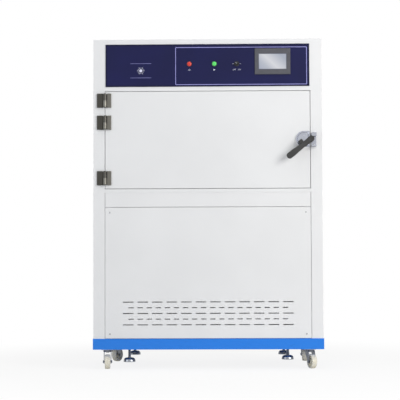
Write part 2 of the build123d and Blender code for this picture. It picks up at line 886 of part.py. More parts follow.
def door_core():
    """The insulation inside the door, filling the outer pan and the plug."""
    half = door_width / 2 - sheet
    z0, z1 = door_bottom + sheet, door_top - sheet
    back = front_y + door_thickness
    core = block(-half, half, front_y + sheet, back - sheet, z0, z1)
    core += block(
        -half + door_lip, half - door_lip, back - 2 * sheet, back, z0 + door_lip, z1 - door_lip,
    )
    plug_x, plug_z0, plug_z1 = plug_box(liner_wall)
    return core + block(-plug_x, plug_x, back - 1, back + plug_depth, plug_z0, plug_z1)


def plug_box(wall):
    """The plug's half width and its lower and upper edges, taken in by a wall."""
    inset = plug_margin + wall
    return chamber_half - inset, chamber_floor + inset, chamber_ceiling - inset


def door_inner():
    """The stainless inner face of the door, pressed into a plug that enters the chamber."""
    half = door_width / 2 - door_gap
    back = front_y + door_thickness
    inner = block(-half, half, back, back + liner_wall, door_bottom + door_gap, door_top - door_gap)
    plug_x, plug_z0, plug_z1 = plug_box(0)
    inner += block(-plug_x, plug_x, back, back + liner_wall + plug_depth, plug_z0, plug_z1)
    core_x, core_z0, core_z1 = plug_box(liner_wall)
    return inner - block(-core_x, core_x, back - 1, back + plug_depth, core_z0, core_z1)


def door_seal():
    """The rubber seal round the plug, which meets the chamber's front flange."""
    inner_x, inner_z0, inner_z1 = chamber_half - plug_margin + 1, chamber_floor + plug_margin - 1, chamber_ceiling - plug_margin + 1
    outer_x, outer_z0, outer_z1 = inner_x + seal_width + plug_margin, inner_z0 - seal_width - plug_margin, inner_z1 + seal_width + plug_margin
    y0 = front_y + door_thickness + liner_wall
    ring = block(-outer_x, outer_x, y0, y0 + seal_height, outer_z0, outer_z1)
    groove = block(
        -outer_x + seal_width, outer_x - seal_width, y0 - 1, y0 + seal_height + 1,
        outer_z0 + seal_width, outer_z1 - seal_width,
    )
    return ring - groove


# Hinges


def hinge_leaf(side, low, high):
    """A cast leaf with a bevelled face and its knuckle, from low to high on the barrel."""
    reach = frame_leaf_reach if side < 0 else door_leaf_reach
    clear = barrel_radius + 1.0
    x0, x1 = sorted((side * clear, side * reach))
    body = block(x0, x1, front_y - hinge_y - leaf_thickness, front_y - hinge_y, -hinge_height / 2, hinge_height / 2)
    outer_edges = body.edges().filter_by(Axis.Z).group_by(Axis.Y)[0]
    body = chamfer(outer_edges, leaf_bevel)
    knuckle = post(0, 0, low, high, barrel_radius)
    web_y0 = front_y - hinge_y - leaf_thickness + 1
    web = block(min(0, side * (clear + 2)), max(0, side * (clear + 2)), web_y0, web_y0 + 5, low, high)
    return body + knuckle + web


def hinge_frame_leaf(z):
    """The upper half, with the pin pressed into its knuckle and a cap under the lower knuckle."""
    half = hinge_height / 2
    leaf = hinge_leaf(-1, knuckle_gap / 2, half - barrel_cap)
    leaf += post(0, 0, -half, half, hinge_pin_radius)
    for low, high in ((-half, -half + barrel_cap - knuckle_gap), (half - barrel_cap, half)):
        leaf += post(0, 0, low, high, barrel_radius - barrel_cap_step)
    return Pos(hinge_x, hinge_y, z) * leaf


def hinge_door_leaf(z):
    """The lower half, bored for the pin."""
    leaf = hinge_leaf(1, -hinge_height / 2 + barrel_cap, -knuckle_gap / 2)
    leaf -= post(0, 0, -hinge_height, hinge_height, hinge_pin_radius + running_clearance)
    return Pos(hinge_x, hinge_y, z) * leaf


# Latch


def latch_base():
    """The cast latch body: a half-round foot plate, a domed housing and the pivot pin."""
    middle_z = door_middle + latch_base_above_middle
    radius = latch_base_height / 2
    straight = latch_base_width - radius
    x = latch_edge - straight
    foot = Circle(radius) + Pos(straight / 2, 0) * Rectangle(straight, latch_base_height)
    foot -= Pos(straight + radius, 0) * Rectangle(2 * radius, 2 * latch_base_height)
    foot = make_face(foot.wire().edges())
    part = extrude(foot, amount=latch_base_flange)
    dome = offset(foot, amount=-7, kind=Kind.INTERSECTION)
    part += Pos(0, 0, latch_base_flange) * extrude(dome, amount=latch_base_rise - latch_base_flange, taper=18)
    part = Pos(x, front_y, middle_z) * Rot(90, 0, 0) * part
    seat = bar_y(pivot_x, pivot_z, tongue_y + seat_gap, front_y, tongue_width * 0.8)
    pin_end = lever_back_y - pivot_engagement
    pin = bar_y(pivot_x, pivot_z, pin_end, front_y, pivot_radius)
    return part + seat + pin


def lever_frame():
    """The lever's own plane: X along the lever from the pivot to the grip, Z out of the door."""
    along = Vector(math.cos(math.radians(lever_angle)), 0, math.sin(math.radians(lever_angle)))
    return Plane(origin=(pivot_x, lever_back_y, pivot_z), x_dir=along, z_dir=(0, -1, 0))


def front_edges_of(lever):
    """The edges round the lever's outer face, which looks along +Z in its own plane."""
    outer_faces = [face for face in lever.faces() if face.normal_at(face.center()).Z > 0.5]
    seams = [edge for face in outer_faces for edge in face.edges()]
    return [edge for edge in seams if sum(edge.is_same(other) for other in seams) == 1]


def latch_lever():
    """The black lever: a round head over the pivot, a waisted neck and a wide grip that lifts away from the door."""
    side = [
        (-lever_head, lever_head_radius), (lever_neck_at, lever_neck / 2),
        (lever_grip_at, lever_grip / 2), (lever_length, lever_tip / 2),
    ]
    other = [(x, -y) for x, y in reversed(side)]
    outline = make_face(Polyline(*side, *other, close=True))
    outline += Pos(-lever_head, 0) * Circle(lever_head_radius)
    outline += Pos(shoulder_start + shoulder_width / 2, -shoulder_reach / 2) * Rectangle(shoulder_width, shoulder_reach)
    rise = latch_reach - (front_y - lever_back_y) - lever_thickness
    head_end = -lever_head - lever_head_radius
    under = [(head_end, 0), (0, 0), (lever_grip_at, rise), (lever_length, rise)]
    over = [(x, z + lever_thickness) for x, z in reversed(under)]
    section = make_face(Polyline(*under, *over, close=True))
    lever = extrude(outline, amount=latch_reach)
    lever &= extrude(Plane.XZ.offset(-latch_reach) * section, amount=2 * latch_reach)
    lever = fillet(front_edges_of(lever), lever_edge_radius)
    lever -= Pos(-lever_head, 0, lever_thickness - recess_depth) * extrude(Ellipse(*recess_size), amount=lever_thickness)
    bore_depth = pivot_engagement + seat_gap
    lever -= Pos(0, 0, bore_depth / 2 - 0.5) * Cylinder(pivot_radius + running_clearance, bore_depth + 1)
    return lever_frame() * lever


def latch_tongue():
    """The steel tongue under the lever's head, which turns behind the keeper's lip."""
    tip_x = -tongue_reach + tongue_width / 2
    profile = Circle(tongue_width * 0.75) + Pos(tip_x / 2, 0) * Rectangle(-tip_x, tongue_width)
    profile += Pos(tip_x, 0) * Circle(tongue_width / 2)
    hub = lever_back_y - tongue_y
    tongue = extrude(profile, amount=tongue_thickness)
    tongue += extrude(Circle(tongue_shoulder), amount=-hub)
    tongue -= Pos(0, 0, -hub / 2) * Cylinder(pivot_radius + running_clearance, -hub + 2)
    return lever_frame() * Pos(0, 0, hub) * tongue


def latch_keeper():
    """The keeper on the frame: a screwed plate with a hooked post above the tongue and a plain one below."""
    x0, x1 = keeper_x, keeper_x + keeper_width
    z0 = pivot_z - keeper_below_pivot
    z1 = z0 + keeper_height
    part = block(x0, x1, front_y - keeper_plate, front_y, z0, z1)
    part += block(x0, x1, lip_front_y, front_y, z1 - keeper_post, z1)
    part += block(x0, x1, lip_front_y, front_y, z0, z0 + keeper_post)
    part += block(x0, x1, lip_front_y, lip_back_y, tongue_top_z + keeper_above_tongue, z1)
    front_edges = part.edges().filter_by(Axis.X).group_by(Axis.Y)[0]
    return fillet(front_edges, keeper_lip / 4)


# Control panel


def control_panel():
    """The printed face plate over the upper front, cut for the display, the two lamps and the switch."""
    half = control_width / 2
    plate = block(-half, half, panel_front_y, front_y, control_bottom, control_top)
    body_x, body_z = display_width / 2 - display_body_inset + seat_gap, display_height / 2 - display_body_inset + seat_gap
    plate -= block(
        display_x - body_x, display_x + body_x, panel_front_y - 1, front_y + 1, display_z - body_z, display_z + body_z,
    )
    for x in (power_lamp_x, run_lamp_x, selector_x):
        plate -= bar_y(x, lamp_row_z, panel_front_y - 1, front_y + 1, collar_neck_radius + seat_gap)
    return plate


def display_housing():
    """The touch display's bezel, stepped down to the screen, and the body behind the panel."""
    half_x, half_z = display_width / 2, display_height / 2
    y0 = panel_front_y - display_bezel
    bezel = block(display_x - half_x, display_x + half_x, y0, panel_front_y, display_z - half_z, display_z + half_z)
    front_edges = bezel.faces().sort_by(Axis.Y)[0].edges()
    bezel = chamfer(front_edges, 2.0)
    body_x, body_z = half_x - display_body_inset, half_z - display_body_inset
    bezel += block(
        display_x - body_x, display_x + body_x, panel_front_y, front_y + display_body_depth,
        display_z - body_z, display_z + body_z,
    )
    depth = screen_recess + screen_thickness
    bezel -= block(
        display_x - screen_width / 2, display_x + screen_width / 2, y0 - 1, y0 + depth,
        display_z - screen_height / 2, display_z + screen_height / 2,
    )
    return bezel


def display_screen():
    y = panel_front_y - display_bezel + screen_recess
    half_x, half_z = (screen_width - seat_gap) / 2, (screen_height - seat_gap) / 2
    return block(
        display_x - half_x, display_x + half_x, y, y + screen_thickness, display_z - half_z, display_z + half_z,
    )


def panel_collar(x):
    """A fitting's front ring, its neck through the panel and the contact block behind."""
    ring_y = panel_front_y - collar_thickness
    collar = bar_y(x, lamp_row_z, ring_y, panel_front_y, collar_radius)
    collar += bar_y(x, lamp_row_z, panel_front_y, front_y, collar_neck_radius)
    half = contact_block / 2
    collar += block(x - half, x + half, front_y, front_y + contact_depth, lamp_row_z - half, lamp_row_z + half)
    if x == selector_x:
        shaft_room = knob_shaft_radius + running_clearance
        collar -= bar_y(x, lamp_row_z, ring_y - 1, ring_y + collar_bore_depth, shaft_room)
    return collar


def pilot_lens(x):
    """A button-shaped lens on its collar."""
    seat_y = panel_front_y - collar_thickness
    points = [
        (0, 0), (lens_radius, 0), (lens_radius, lens_rise - lens_slope), (lens_radius - lens_slope, lens_rise), (0, lens_rise),
    ]
    lens = revolve(Plane.XZ * make_face(Polyline(*points, close=True)), Axis.Z)
    return Pos(x, seat_y, lamp_row_z) * Rot(90, 0, 0) * lens


def selector_knob():
    """The turn knob: a round skirt, a raised grip bar and the shaft into the switch."""
    knob = post(0, 0, 0, knob_skirt, knob_radius)
    grip = Box(knob_grip_width, 2 * knob_radius, knob_height) & Cylinder(knob_radius, knob_height)
    knob += Pos(0, 0, knob_height / 2) * grip
    knob += post(0, 0, -knob_shaft_length, 0, knob_shaft_radius)
    seat_y = panel_front_y - collar_thickness - seat_gap
    return Pos(selector_x, seat_y, lamp_row_z) * Rot(90, 0, 0) * Rot(0, 0, -knob_angle) * knob


# Equipment


def water_tank():
    """The moulded supply tank with a filler neck."""
    y = (front_y + back_y) / 2 + tank_length / 3
    profile = RectangleRounded(tank_width, tank_length, tank_corner)
    tank = extrude(profile, amount=tank_height)
    tank += Pos(0, 0, tank_height) * extrude(Circle(tank_neck_radius), amount=tank_neck_height)
    return Pos(tank_x, y, deck_top) * tank


def water_pump():
    """The circulation pump on its foot."""
    y = (front_y + back_y) / 2 + pump_setback
    z = deck_top + pump_radius + pump_foot_height
    half = pump_length / 2
    pump = bar_x(y, z, pump_x - half, pump_x + half, pump_radius)
    pump += bar_x(y, z, pump_x + half, pump_x + half + 22, pump_radius * 1.15)
    foot = pump_foot_width / 2
    return pump + block(pump_x - foot, pump_x + foot, y - foot, y + foot, deck_top, z)


def electrical_plate():
    """The upright mounting plate, folded at the foot, with a breaker and a contactor row."""
    y = front_y + plate_setback
    half = plate_width / 2
    points = [(y - plate_foot, deck_top), (y, deck_top), (y, deck_top + plate_height)]
    place = Plane.YZ.offset(plate_x - half)
    return bent_sheet(points, plate_thickness, bend_radius, place, plate_width)


def plate_equipment():
    """Breakers on the electrical plate, side by side."""
    y1 = front_y + plate_setback - plate_thickness
    z0 = deck_top + plate_height - breaker_height - 20
    return [
        block(x, x + breaker_width, y1 - breaker_depth, y1, z0, z0 + breaker_height)
        for x in (plate_x + (column - 2) * (breaker_width + 2) for column in range(4))
    ]


def ballasts():
    """One ballast for each lamp, in two columns."""
    y1 = front_y + plate_setback - plate_thickness
    places = [
        (plate_x + (column - 0.5) * ballast_pitch_x, deck_top + 60 + row * ballast_pitch_z)
        for column in range(2) for row in range(ballast_count // 2)
    ]
    return [
        block(x - ballast_length / 2, x + ballast_length / 2, y1 - ballast_depth, y1, z, z + ballast_height)
        for x, z in places
    ]


def fitting_places():
    z = skirt_top + fitting_above_skirt
    return [(fitting_x - column * fitting_pitch, z) for column in range(3)]


def rear_fittings():
    """Water inlet, drain spigot and a cable gland with an open bore."""
    inlet, drain, gland = fitting_places()
    end = back_y + fitting_reach
    parts = []
    for (x, z), radius in ((inlet, inlet_radius), (drain, drain_radius), (gland, gland_radius)):
        flange = extrude(Plane.XZ * RegularPolygon(fitting_flange_radius, 6), amount=-fitting_flange)
        part = Pos(x, lower_back_y, z) * flange
        part += bar_y(x, z, lower_back_y + fitting_flange, end, radius)
        part += bar_y(x, z, lower_back_y - spigot_length, lower_back_y, spigot_radius)
        parts.append(part)
    x, z = gland
    parts[2] -= bar_y(x, z, lower_back_y - spigot_length - 1, end + 1, gland_bore)
    return parts


def whole(*pieces):
    """Separate solids that share one node."""
    solids = [solid for piece in pieces for solid in piece.solids()]
    return solids[0] if len(solids) == 1 else Compound(children=solids)


def build():
    nodes = {
        "base_frame": base_frame(),
        "machine_deck": machine_deck(),
        "caster_plates": whole(*[caster_plate(name) for name in corners]),
        "foot_nuts": whole(*[foot_nut(name) for name in corners]),
        "lower_side_panels": whole(lower_side(-1), lower_side(1)),
        "cross_rail": cross_rail(),
        "vent_panel": vent_panel(),
        "vent_panel_screws": whole(*[panel_screw(x, z) for x, z in vent_screw_places()]),
        "back_panels": whole(lower_back(), upper_back()),
        "upper_wrapper": upper_wrapper(),
        "front_fascia": front_fascia(),
        "chamber_deck": chamber_deck(),
        "chamber_liner": chamber_liner(),
        "chamber_insulation": insulation(),
        "water_pan": water_pan(),
        "pan_heater": pan_heater(),
        "uv_lamps": whole(*[uv_lamp(y) for y in lamp_lines()]),
        "lamp_holders": whole(*[lamp_holder(y, side) for y in lamp_lines() for side in (-1, 1)]),
        "lamp_reflector": lamp_reflector(),
        "specimen_rack": specimen_rack(),
        "specimen_holders": whole(*[specimen_holder(x, y) for x, y in holder_places()]),
        "specimen_panels": whole(
            *[specimen(x, y) for i, (x, y) in enumerate(holder_places()) if i != holder_count - 1]
        ),
        "black_panel_probe": black_panel_probe(),
        "fan_cover": fan_cover(),
        "fan_impeller": fan_impeller(),
        "fan_motor": fan_motor(),
        "door_skin": door_skin(),
        "door_core": door_core(),
        "door_inner_panel": door_inner(),
        "door_seal": door_seal(),
        "hinge_frame_leaves": whole(*[hinge_frame_leaf(z) for z in hinge_levels]),
        "hinge_door_leaves": whole(*[hinge_door_leaf(z) for z in hinge_levels]),
        "latch_base": latch_base(),
        "latch_lever": latch_lever(),
        "latch_tongue": latch_tongue(),
        "latch_keeper": latch_keeper(),
        "control_panel": control_panel(),
        "display_housing": display_housing(),
        "display_screen": display_screen(),
        "panel_collars": whole(
            panel_collar(power_lamp_x), panel_collar(run_lamp_x), panel_collar(selector_x),
        ),
        "power_lamp": pilot_lens(power_lamp_x),
        "run_lamp": pilot_lens(run_lamp_x),
        "selector_knob": selector_knob(),
        "water_tank": water_tank(),
        "water_pump": water_pump(),
        "electrical_plate": whole(electrical_plate(), *plate_equipment()),
        "ballasts": whole(*ballasts()),
        "rear_fittings": whole(*rear_fittings()),
    }
    for name in corners:
        nodes[f"caster_fork_{name}"] = whole(*caster_fork(name))
        nodes[f"caster_wheel_{name}"] = caster_wheel(name)
        nodes[f"levelling_foot_{name}"] = levelling_foot(name)
    return nodes


os.makedirs("parts", exist_ok=True)
for node_name, shape in build().items():
    export_step(shape, f"parts/{node_name}.step")
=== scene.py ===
import json
import math

import bmesh
import bpy
from bpy.props import FloatProperty, FloatVectorProperty, IntProperty, PointerProperty
from mathutils import Matrix, Vector


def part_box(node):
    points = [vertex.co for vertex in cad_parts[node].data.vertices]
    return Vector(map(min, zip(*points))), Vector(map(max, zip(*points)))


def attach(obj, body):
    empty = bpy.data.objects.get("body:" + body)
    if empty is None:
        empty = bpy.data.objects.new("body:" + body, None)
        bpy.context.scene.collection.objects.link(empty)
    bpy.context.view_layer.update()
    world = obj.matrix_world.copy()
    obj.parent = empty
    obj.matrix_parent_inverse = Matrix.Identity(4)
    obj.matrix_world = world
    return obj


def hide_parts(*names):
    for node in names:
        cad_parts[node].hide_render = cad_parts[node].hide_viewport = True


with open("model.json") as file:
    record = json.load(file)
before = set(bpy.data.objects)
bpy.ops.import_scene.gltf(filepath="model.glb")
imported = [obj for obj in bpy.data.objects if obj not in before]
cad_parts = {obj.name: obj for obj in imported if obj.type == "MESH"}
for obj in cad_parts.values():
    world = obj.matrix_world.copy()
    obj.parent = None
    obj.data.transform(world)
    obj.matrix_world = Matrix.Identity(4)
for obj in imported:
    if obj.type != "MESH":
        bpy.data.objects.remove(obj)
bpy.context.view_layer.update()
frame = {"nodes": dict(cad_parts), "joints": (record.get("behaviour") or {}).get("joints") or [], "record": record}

bl_info = {
    "name": "Ultraviolet ageing chamber",
    "version": (1, 0, 0),
    "blender": (4, 5, 0),
    "location": "View3D > Sidebar > Chamber",
    "description": "Finishes and fine fittings of a floor-standing ultraviolet ageing chamber",
    "category": "Object",
}

MM = 0.001
FRONT = (0, -1, 0)
BACK = (0, 1, 0)
RIGHT = (1, 0, 0)
CORNERS = ("front_left", "front_right", "rear_left", "rear_right")
# The signs of the four quarters round an axis, against the clock
QUARTERS = ((1, 1), (-1, 1), (-1, -1), (1, -1))


def rgb(red, green, blue):
    """A colour given on the 0 to 255 display scale, as the shader's own linear numbers."""
    levels = (level / 255 for level in (red, green, blue))
    return tuple(v / 12.92 if v <= 0.04045 else ((v + 0.055) / 1.055) ** 2.4 for v in levels)


def joint_named(name):
    """The record of one joint."""
    return next(joint for joint in frame["joints"] if joint["name"] == name)


def pivot_of(name):
    """The point that a joint turns about."""
    return Vector(joint_named(name)["pos_m"])


def middle_of(node):
    """The middle of a node's box."""
    low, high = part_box(node)
    return (low + high) / 2


def eased(share):
    """A smooth rise from nothing to one, level at both ends."""
    return share * share * (3 - 2 * share)


def colour_property(name, description, red, green, blue):
    """A colour that a user may change."""
    return FloatVectorProperty(
        name=name, description=description, subtype="COLOR", size=3, min=0, max=1,
        default=rgb(red, green, blue))


def length_property(name, description, millimetres):
    """A length that a user may change."""
    return FloatProperty(
        name=name, description=description, unit="LENGTH", subtype="DISTANCE", min=0,
        precision=5, default=millimetres * MM)


def share_property(name, description, share):
    """A share from nothing to one that a user may change."""
    return FloatProperty(name=name, description=description, subtype="FACTOR", min=0, max=1, default=share)


class PaintSettings(bpy.types.PropertyGroup):
    """Colours and gloss of the painted sheet."""
    cabinet: colour_property("Cabinet paint", "Powder coat of the cabinet and the door", 233, 234, 236)
    skirt: colour_property("Skirt paint", "Powder coat of the base skirt", 22, 126, 230)
    panel: colour_property("Panel film", "Printed film of the control panel", 15, 18, 66)
    roughness: share_property("Paint roughness", "How matt the powder coat is", 0.42)
    peel: length_property("Orange peel", "Height of the ripple of the powder coat", 0.03)


class PrintSettings(bpy.types.PropertyGroup):
    """Printed marks of the control panel."""
    ink: colour_property("Ink", "Colour of the fine printed lines", 150, 150, 214)
    white: colour_property("White ink", "Colour of the printed signs", 226, 228, 246)
    line: length_property("Frame line", "Width of the line round the controls", 3.6)
    corner: length_property("Frame corner", "Corner radius of the line round the controls", 5.0)
    rule: length_property("Rule", "Width of the short rules beside the sign", 1.6)
    ink_height: length_property("Ink height", "How far the ink stands off the film", 0.15)


class LatchSettings(bpy.types.PropertyGroup):
    """The moulded lever of the door latch."""
    colour: colour_property("Lever", "Moulded nylon of the lever", 9, 9, 10)
    edge: length_property("Edge radius", "Rounding of the lever's edges", 5.0)
    recess: length_property("Recess", "Depth of the oval recess in the head", 1.5)


class HardwareSettings(bpy.types.PropertyGroup):
    """Screws, bolts and plating."""
    chrome: colour_property("Chrome", "Plating of the latch", 184, 187, 197)
    leaf: colour_property("Hinge leaf", "Plating of the door's hinge leaves", 118, 116, 110)
    screw_head: length_property("Screw head", "Radius of the vent panel's screws", 4.5)
    bolt_across: length_property("Bolt", "Width across the flats of the caster bolts", 8.06)


class CasterSettings(bpy.types.PropertyGroup):
    """Caster wheels and levelling feet."""
    tread: colour_property("Tread", "Cast tread of the wheels", 226, 214, 186)
    dust: colour_property("Dust", "Floor dust on the wheels", 205, 200, 188)
    ribs: IntProperty(
        name="Ribs", description="Number of ribs in a wheel's web", min=3, max=12, default=6)
    thread_pitch: length_property("Thread pitch", "Pitch of the levelling stems", 2.0)


class StageSettings(bpy.types.PropertyGroup):
    """Studio light and camera."""
    daylight: FloatProperty(
        name="Daylight", description="Strength of the even light", min=0, default=0.33)
    key: FloatProperty(
        name="Key", description="Power of the large lamp at the right", unit="POWER", min=0, default=148)
    fill: FloatProperty(
        name="Fill", description="Power of the lamps at the left and above", unit="POWER", min=0, default=38)
    lens: FloatProperty(
        name="Lens", description="Focal length of the camera", unit="CAMERA", min=1, default=112.9)


SETTINGS = {
    "chamber_paint": PaintSettings,
    "chamber_print": PrintSettings,
    "chamber_latch": LatchSettings,
    "chamber_hardware": HardwareSettings,
    "chamber_casters": CasterSettings,
    "chamber_stage": StageSettings,
}


# Materials


class Value:
    """A value in a graph's nodes, used in plain sums: each sum or product adds its Math node."""

    def __init__(self, graph, socket):
        self.graph = graph
        self.socket = socket

    def math(self, operation, *values):
        """A sum, product or other operation on values, by Blender's name for it."""
        return self.graph.node("ShaderNodeMath", {"operation": operation}, dict(enumerate(values)))

    def __add__(self, other):
        return self.math("ADD", self, other)

    def __sub__(self, other):
        return self.math("SUBTRACT", self, other)

    def __rsub__(self, other):
        return self.math("SUBTRACT", other, self)

    def __mul__(self, other):
        return self.math("MULTIPLY", self, other)

    def __truediv__(self, other):
        return self.math("DIVIDE", self, other)

    def __abs__(self):
        return self.math("ABSOLUTE", self)

    __radd__ = __add__

    def step(self, low, high):
        """Nothing below low, one above high, and a smooth rise between them."""
        return self.graph.node(
            "ShaderNodeMapRange", {"interpolation_type": "SMOOTHSTEP"},
            {"Value": self, "From Min": low, "From Max": high})

    def least(self, other):
        return self.math("MINIMUM", self, other)

    def most(self, other):
        return self.math("MAXIMUM", self, other)


class Graph:
    """The nodes of a material or of the world."""

    def __init__(self, tree):
        self.tree = tree

    def feed(self, socket, value):
        """Links a value into a socket, or sets a plain one there."""
        if isinstance(value, Value):
            self.tree.links.new(value.socket, socket)
        elif socket.type == "RGBA" and len(value) == 3:
            socket.default_value = (*value, 1)
        else:
            socket.default_value = value

    def node(self, kind, settings=None, sockets=None, output=0):
        """Adds a node, with its settings first and then what goes into its sockets."""
        made = self.tree.nodes.new(kind)
        for name, value in (settings or {}).items():
            if name == "stops":
                self.set_stops(made.color_ramp, value)
            elif name == "interpolation":
                made.color_ramp.interpolation = value
            else:
                setattr(made, name, value)
        for name, value in (sockets or {}).items():
            self.feed(made.inputs[name], value)
        return Value(self, made.outputs[output])

    def set_stops(self, ramp, stops):
        while len(ramp.elements) < len(stops):
            ramp.elements.new(0.5)
        for element, (place, colour) in zip(ramp.elements, stops):
            element.position = place
            element.color = (*colour, 1)

    def seen(self):
        """One where the camera looks, also by a reflection or through glass, and nothing for plain light."""
        camera, glossy, clear = (
            self.node("ShaderNodeLightPath", output=name)
            for name in ("Is Camera Ray", "Is Glossy Ray", "Is Transmission Ray"))
        return camera.most(glossy).most(clear)


class Finish(Graph):
    """One material: its surface shader and the nodes that feed it."""

    def __init__(self, name, **surface):
        self.material = bpy.data.materials.new(name)
        self.material.use_nodes = True
        super().__init__(self.material.node_tree)
        self.surface = self.tree.nodes["Principled BSDF"]
        self.set(**surface)

    def set(self, **sockets):
        """Sets or links the surface's sockets, named with low lines for spaces."""
        for name, value in sockets.items():
            self.feed(self.surface.inputs[name.replace("_", " ")], value)
        return self.material

    def covered(self, tone, roughness, height, distance, strength, **sockets):
        """Sets the surface's colour, roughness and relief, and any other socket that is given."""
        relief = self.bump(height, distance, strength)
        return self.set(Base_Color=tone, Roughness=roughness, Normal=relief, **sockets)

    def shades(self, share, colour, first, second):
        """A colour between two shades of one colour."""
        return self.blend(share, shade(colour, first), shade(colour, second))

    def place(self):
        """The point of the surface in the shared frame, in metres."""
        return self.node("ShaderNodeTexCoord", output="Object")

    def along(self, axis):
        """The place along X, Y or Z, in metres."""
        return self.node("ShaderNodeSeparateXYZ", sockets={0: self.place()}, output="XYZ".index(axis))

    def stretched(self, x, y, z):
        """The place scaled by a number along each axis."""
        return self.node("ShaderNodeVectorMath", {"operation": "MULTIPLY"}, {0: self.place(), 1: (x, y, z)})

    def grain(self, scale, detail=2.0, rough=0.5, where=None, distortion=0.0):
        """Noise from nothing to one, with so many cells in a metre."""
        return self.node("ShaderNodeTexNoise", sockets={
            "Vector": where or self.place(), "Scale": scale, "Detail": detail, "Roughness": rough,
            "Distortion": distortion})

    def cells(self, scale, output="Distance", feature="F1"):
        """Cells of random shapes, so many in a metre."""
        return self.node(
            "ShaderNodeTexVoronoi", {"feature": feature}, {"Vector": self.place(), "Scale": scale}, output)

    def blend(self, share, first, second):
        """A colour between two colours."""
        return self.node(
            "ShaderNodeMix", {"data_type": "RGBA"}, {0: share, 6: first, 7: second}, output=2)

    def ramp(self, share, stops, interpolation="LINEAR"):
        """A colour picked from stops of (share, colour), each on the 0 to 255 display scale."""
        stops = [(place, rgb(*colour)) for place, colour in stops]
        return self.node("ShaderNodeValToRGB", {"stops": stops, "interpolation": interpolation}, {0: share})

    def bump(self, height, distance, strength):
        """The surface's direction where a height ripples it, with distance as the height of one."""
        return self.node(
            "ShaderNodeBump", sockets={"Height": height, "Distance": distance, "Strength": strength})

    def from_edge(self, node):
        """How far inside the outline of a front plate the place is, in metres."""
        low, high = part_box(node)
        width = self.along("X")
        height = self.along("Z")
        return (height - low.z).least(high.z - height).least(width - low.x).least(high.x - width)


def shade(colour, share):
    """A colour made darker or lighter by a share."""
    return tuple(min(1, level * share) for level in colour)


def powder_coat(name, colour, roughness, peel, scuff_height=0.0):
    """Baked powder paint: fine ripple, faint clouds and dust specks, and scuffs up to a height if asked."""
    finish = Finish(name, IOR=1.5)
    clouds = finish.grain(2.3, 3)
    fine = finish.grain(46, 4)
    tone = finish.shades(clouds.step(0.3, 0.7), colour, 0.972, 1.012)
    specks = finish.grain(900, 1).step(0.74, 0.8) * 0.25
    tone = finish.blend(specks, tone, shade(colour, 0.8))
    if scuff_height:
        low = 1 - finish.along("Z").step(scuff_height - 0.03, scuff_height + 0.02)
        rubbed = finish.grain(60, 5, 0.7, finish.stretched(0.3, 0.3, 1.6)).step(0.56, 0.72) * low
        tone = finish.blend(rubbed * 0.35, tone, shade(colour, 0.62))
    ripple = finish.grain(620, 2)
    drift = finish.grain(5, 2)
    return finish.covered(
        tone, roughness - 0.05 + fine * 0.07 + ripple * 0.05, ripple + drift * 6, peel, 0.55)


def printed_film(name, colour):
    """Printed film on a steel plate: a fine matt texture, a border darkened with painted shade, and dust."""
    finish = Finish(name, IOR=1.49, Specular_IOR_Level=0.22, Coat_Weight=0.06, Coat_Roughness=0.3)
    # Painted shade: the film is darkened in a band along its edges
    border = 1 - finish.from_edge("control_panel").step(0.002, 0.016)
    cloud = finish.grain(3.5, 2)
    tone = finish.shades(cloud.step(0.3, 0.75), colour, 0.9, 1.16)
    tone = finish.blend(border * 0.7, tone, shade(colour, 0.35))
    dust = finish.grain(1500, 1).step(0.76, 0.82) * 0.3
    tone = finish.blend(dust, tone, (0.35, 0.36, 0.45))
    texture = finish.grain(2600, 1)
    smear = finish.grain(9, 3, 0.6, finish.stretched(1, 1, 2.5))
    return finish.covered(tone, 0.36 + smear * 0.14, texture, 0.00002, 0.35)


def plated(name, colour, roughness=0.14, scratch=0.5, spots=0.0):
    """Bright plating with hair scratches, faint smears and, where asked for, dull spots."""
    finish = Finish(name, Metallic=1.0)
    hair = finish.grain(900, 2, 0.6, finish.stretched(0.05, 0.4, 1))
    cross = finish.grain(700, 2, 0.6, finish.stretched(1, 0.4, 0.06))
    smear = finish.grain(22, 4)
    tone = finish.shades(smear.step(0.35, 0.75), colour, 0.9, 1)
    if spots:
        tone = finish.blend(finish.grain(260, 3).step(0.62, 0.7) * spots, tone, shade(colour, 0.45))
    return finish.covered(
        tone, roughness + smear * 0.12 + hair.step(0.6, 0.7) * 0.1, hair.most(cross), 0.00001, scratch)


def brushed(name, colour, roughness, across, dull=0.15):
    """Brushed metal: fine lines along one axis, and water marks."""
    finish = Finish(name, Metallic=1.0)
    lines = finish.grain(1400, 3, 0.7, finish.stretched(*across))
    broad = finish.grain(120, 2, 0.5, finish.stretched(*across))
    marks = finish.grain(14, 4, 0.6)
    tone = finish.shades(lines.step(0.3, 0.75), colour, 0.84, 1)
    tone = finish.blend(marks.step(0.55, 0.8) * dull, tone, shade(colour, 0.7))
    return finish.covered(
        tone, roughness + lines * 0.16 + marks.step(0.5, 0.75) * 0.08, lines + broad * 0.5, 0.000015, 0.6)


def galvanised(name, colour):
    """Zinc-coated sheet: crystals of slightly different greys under a pale haze."""
    finish = Finish(name, Metallic=1.0)
    crystal = finish.node("ShaderNodeSeparateColor", sockets={0: finish.cells(85, output="Color")})
    haze = finish.grain(11, 5, 0.65)
    tone = finish.shades(crystal * 0.7, colour, 0.78, 1)
    tone = finish.blend(haze.step(0.58, 0.75) * 0.35, tone, shade(colour, 1.15))
    return finish.covered(tone, 0.34 + crystal * 0.14 + haze * 0.1, crystal, 0.00002, 0.3)


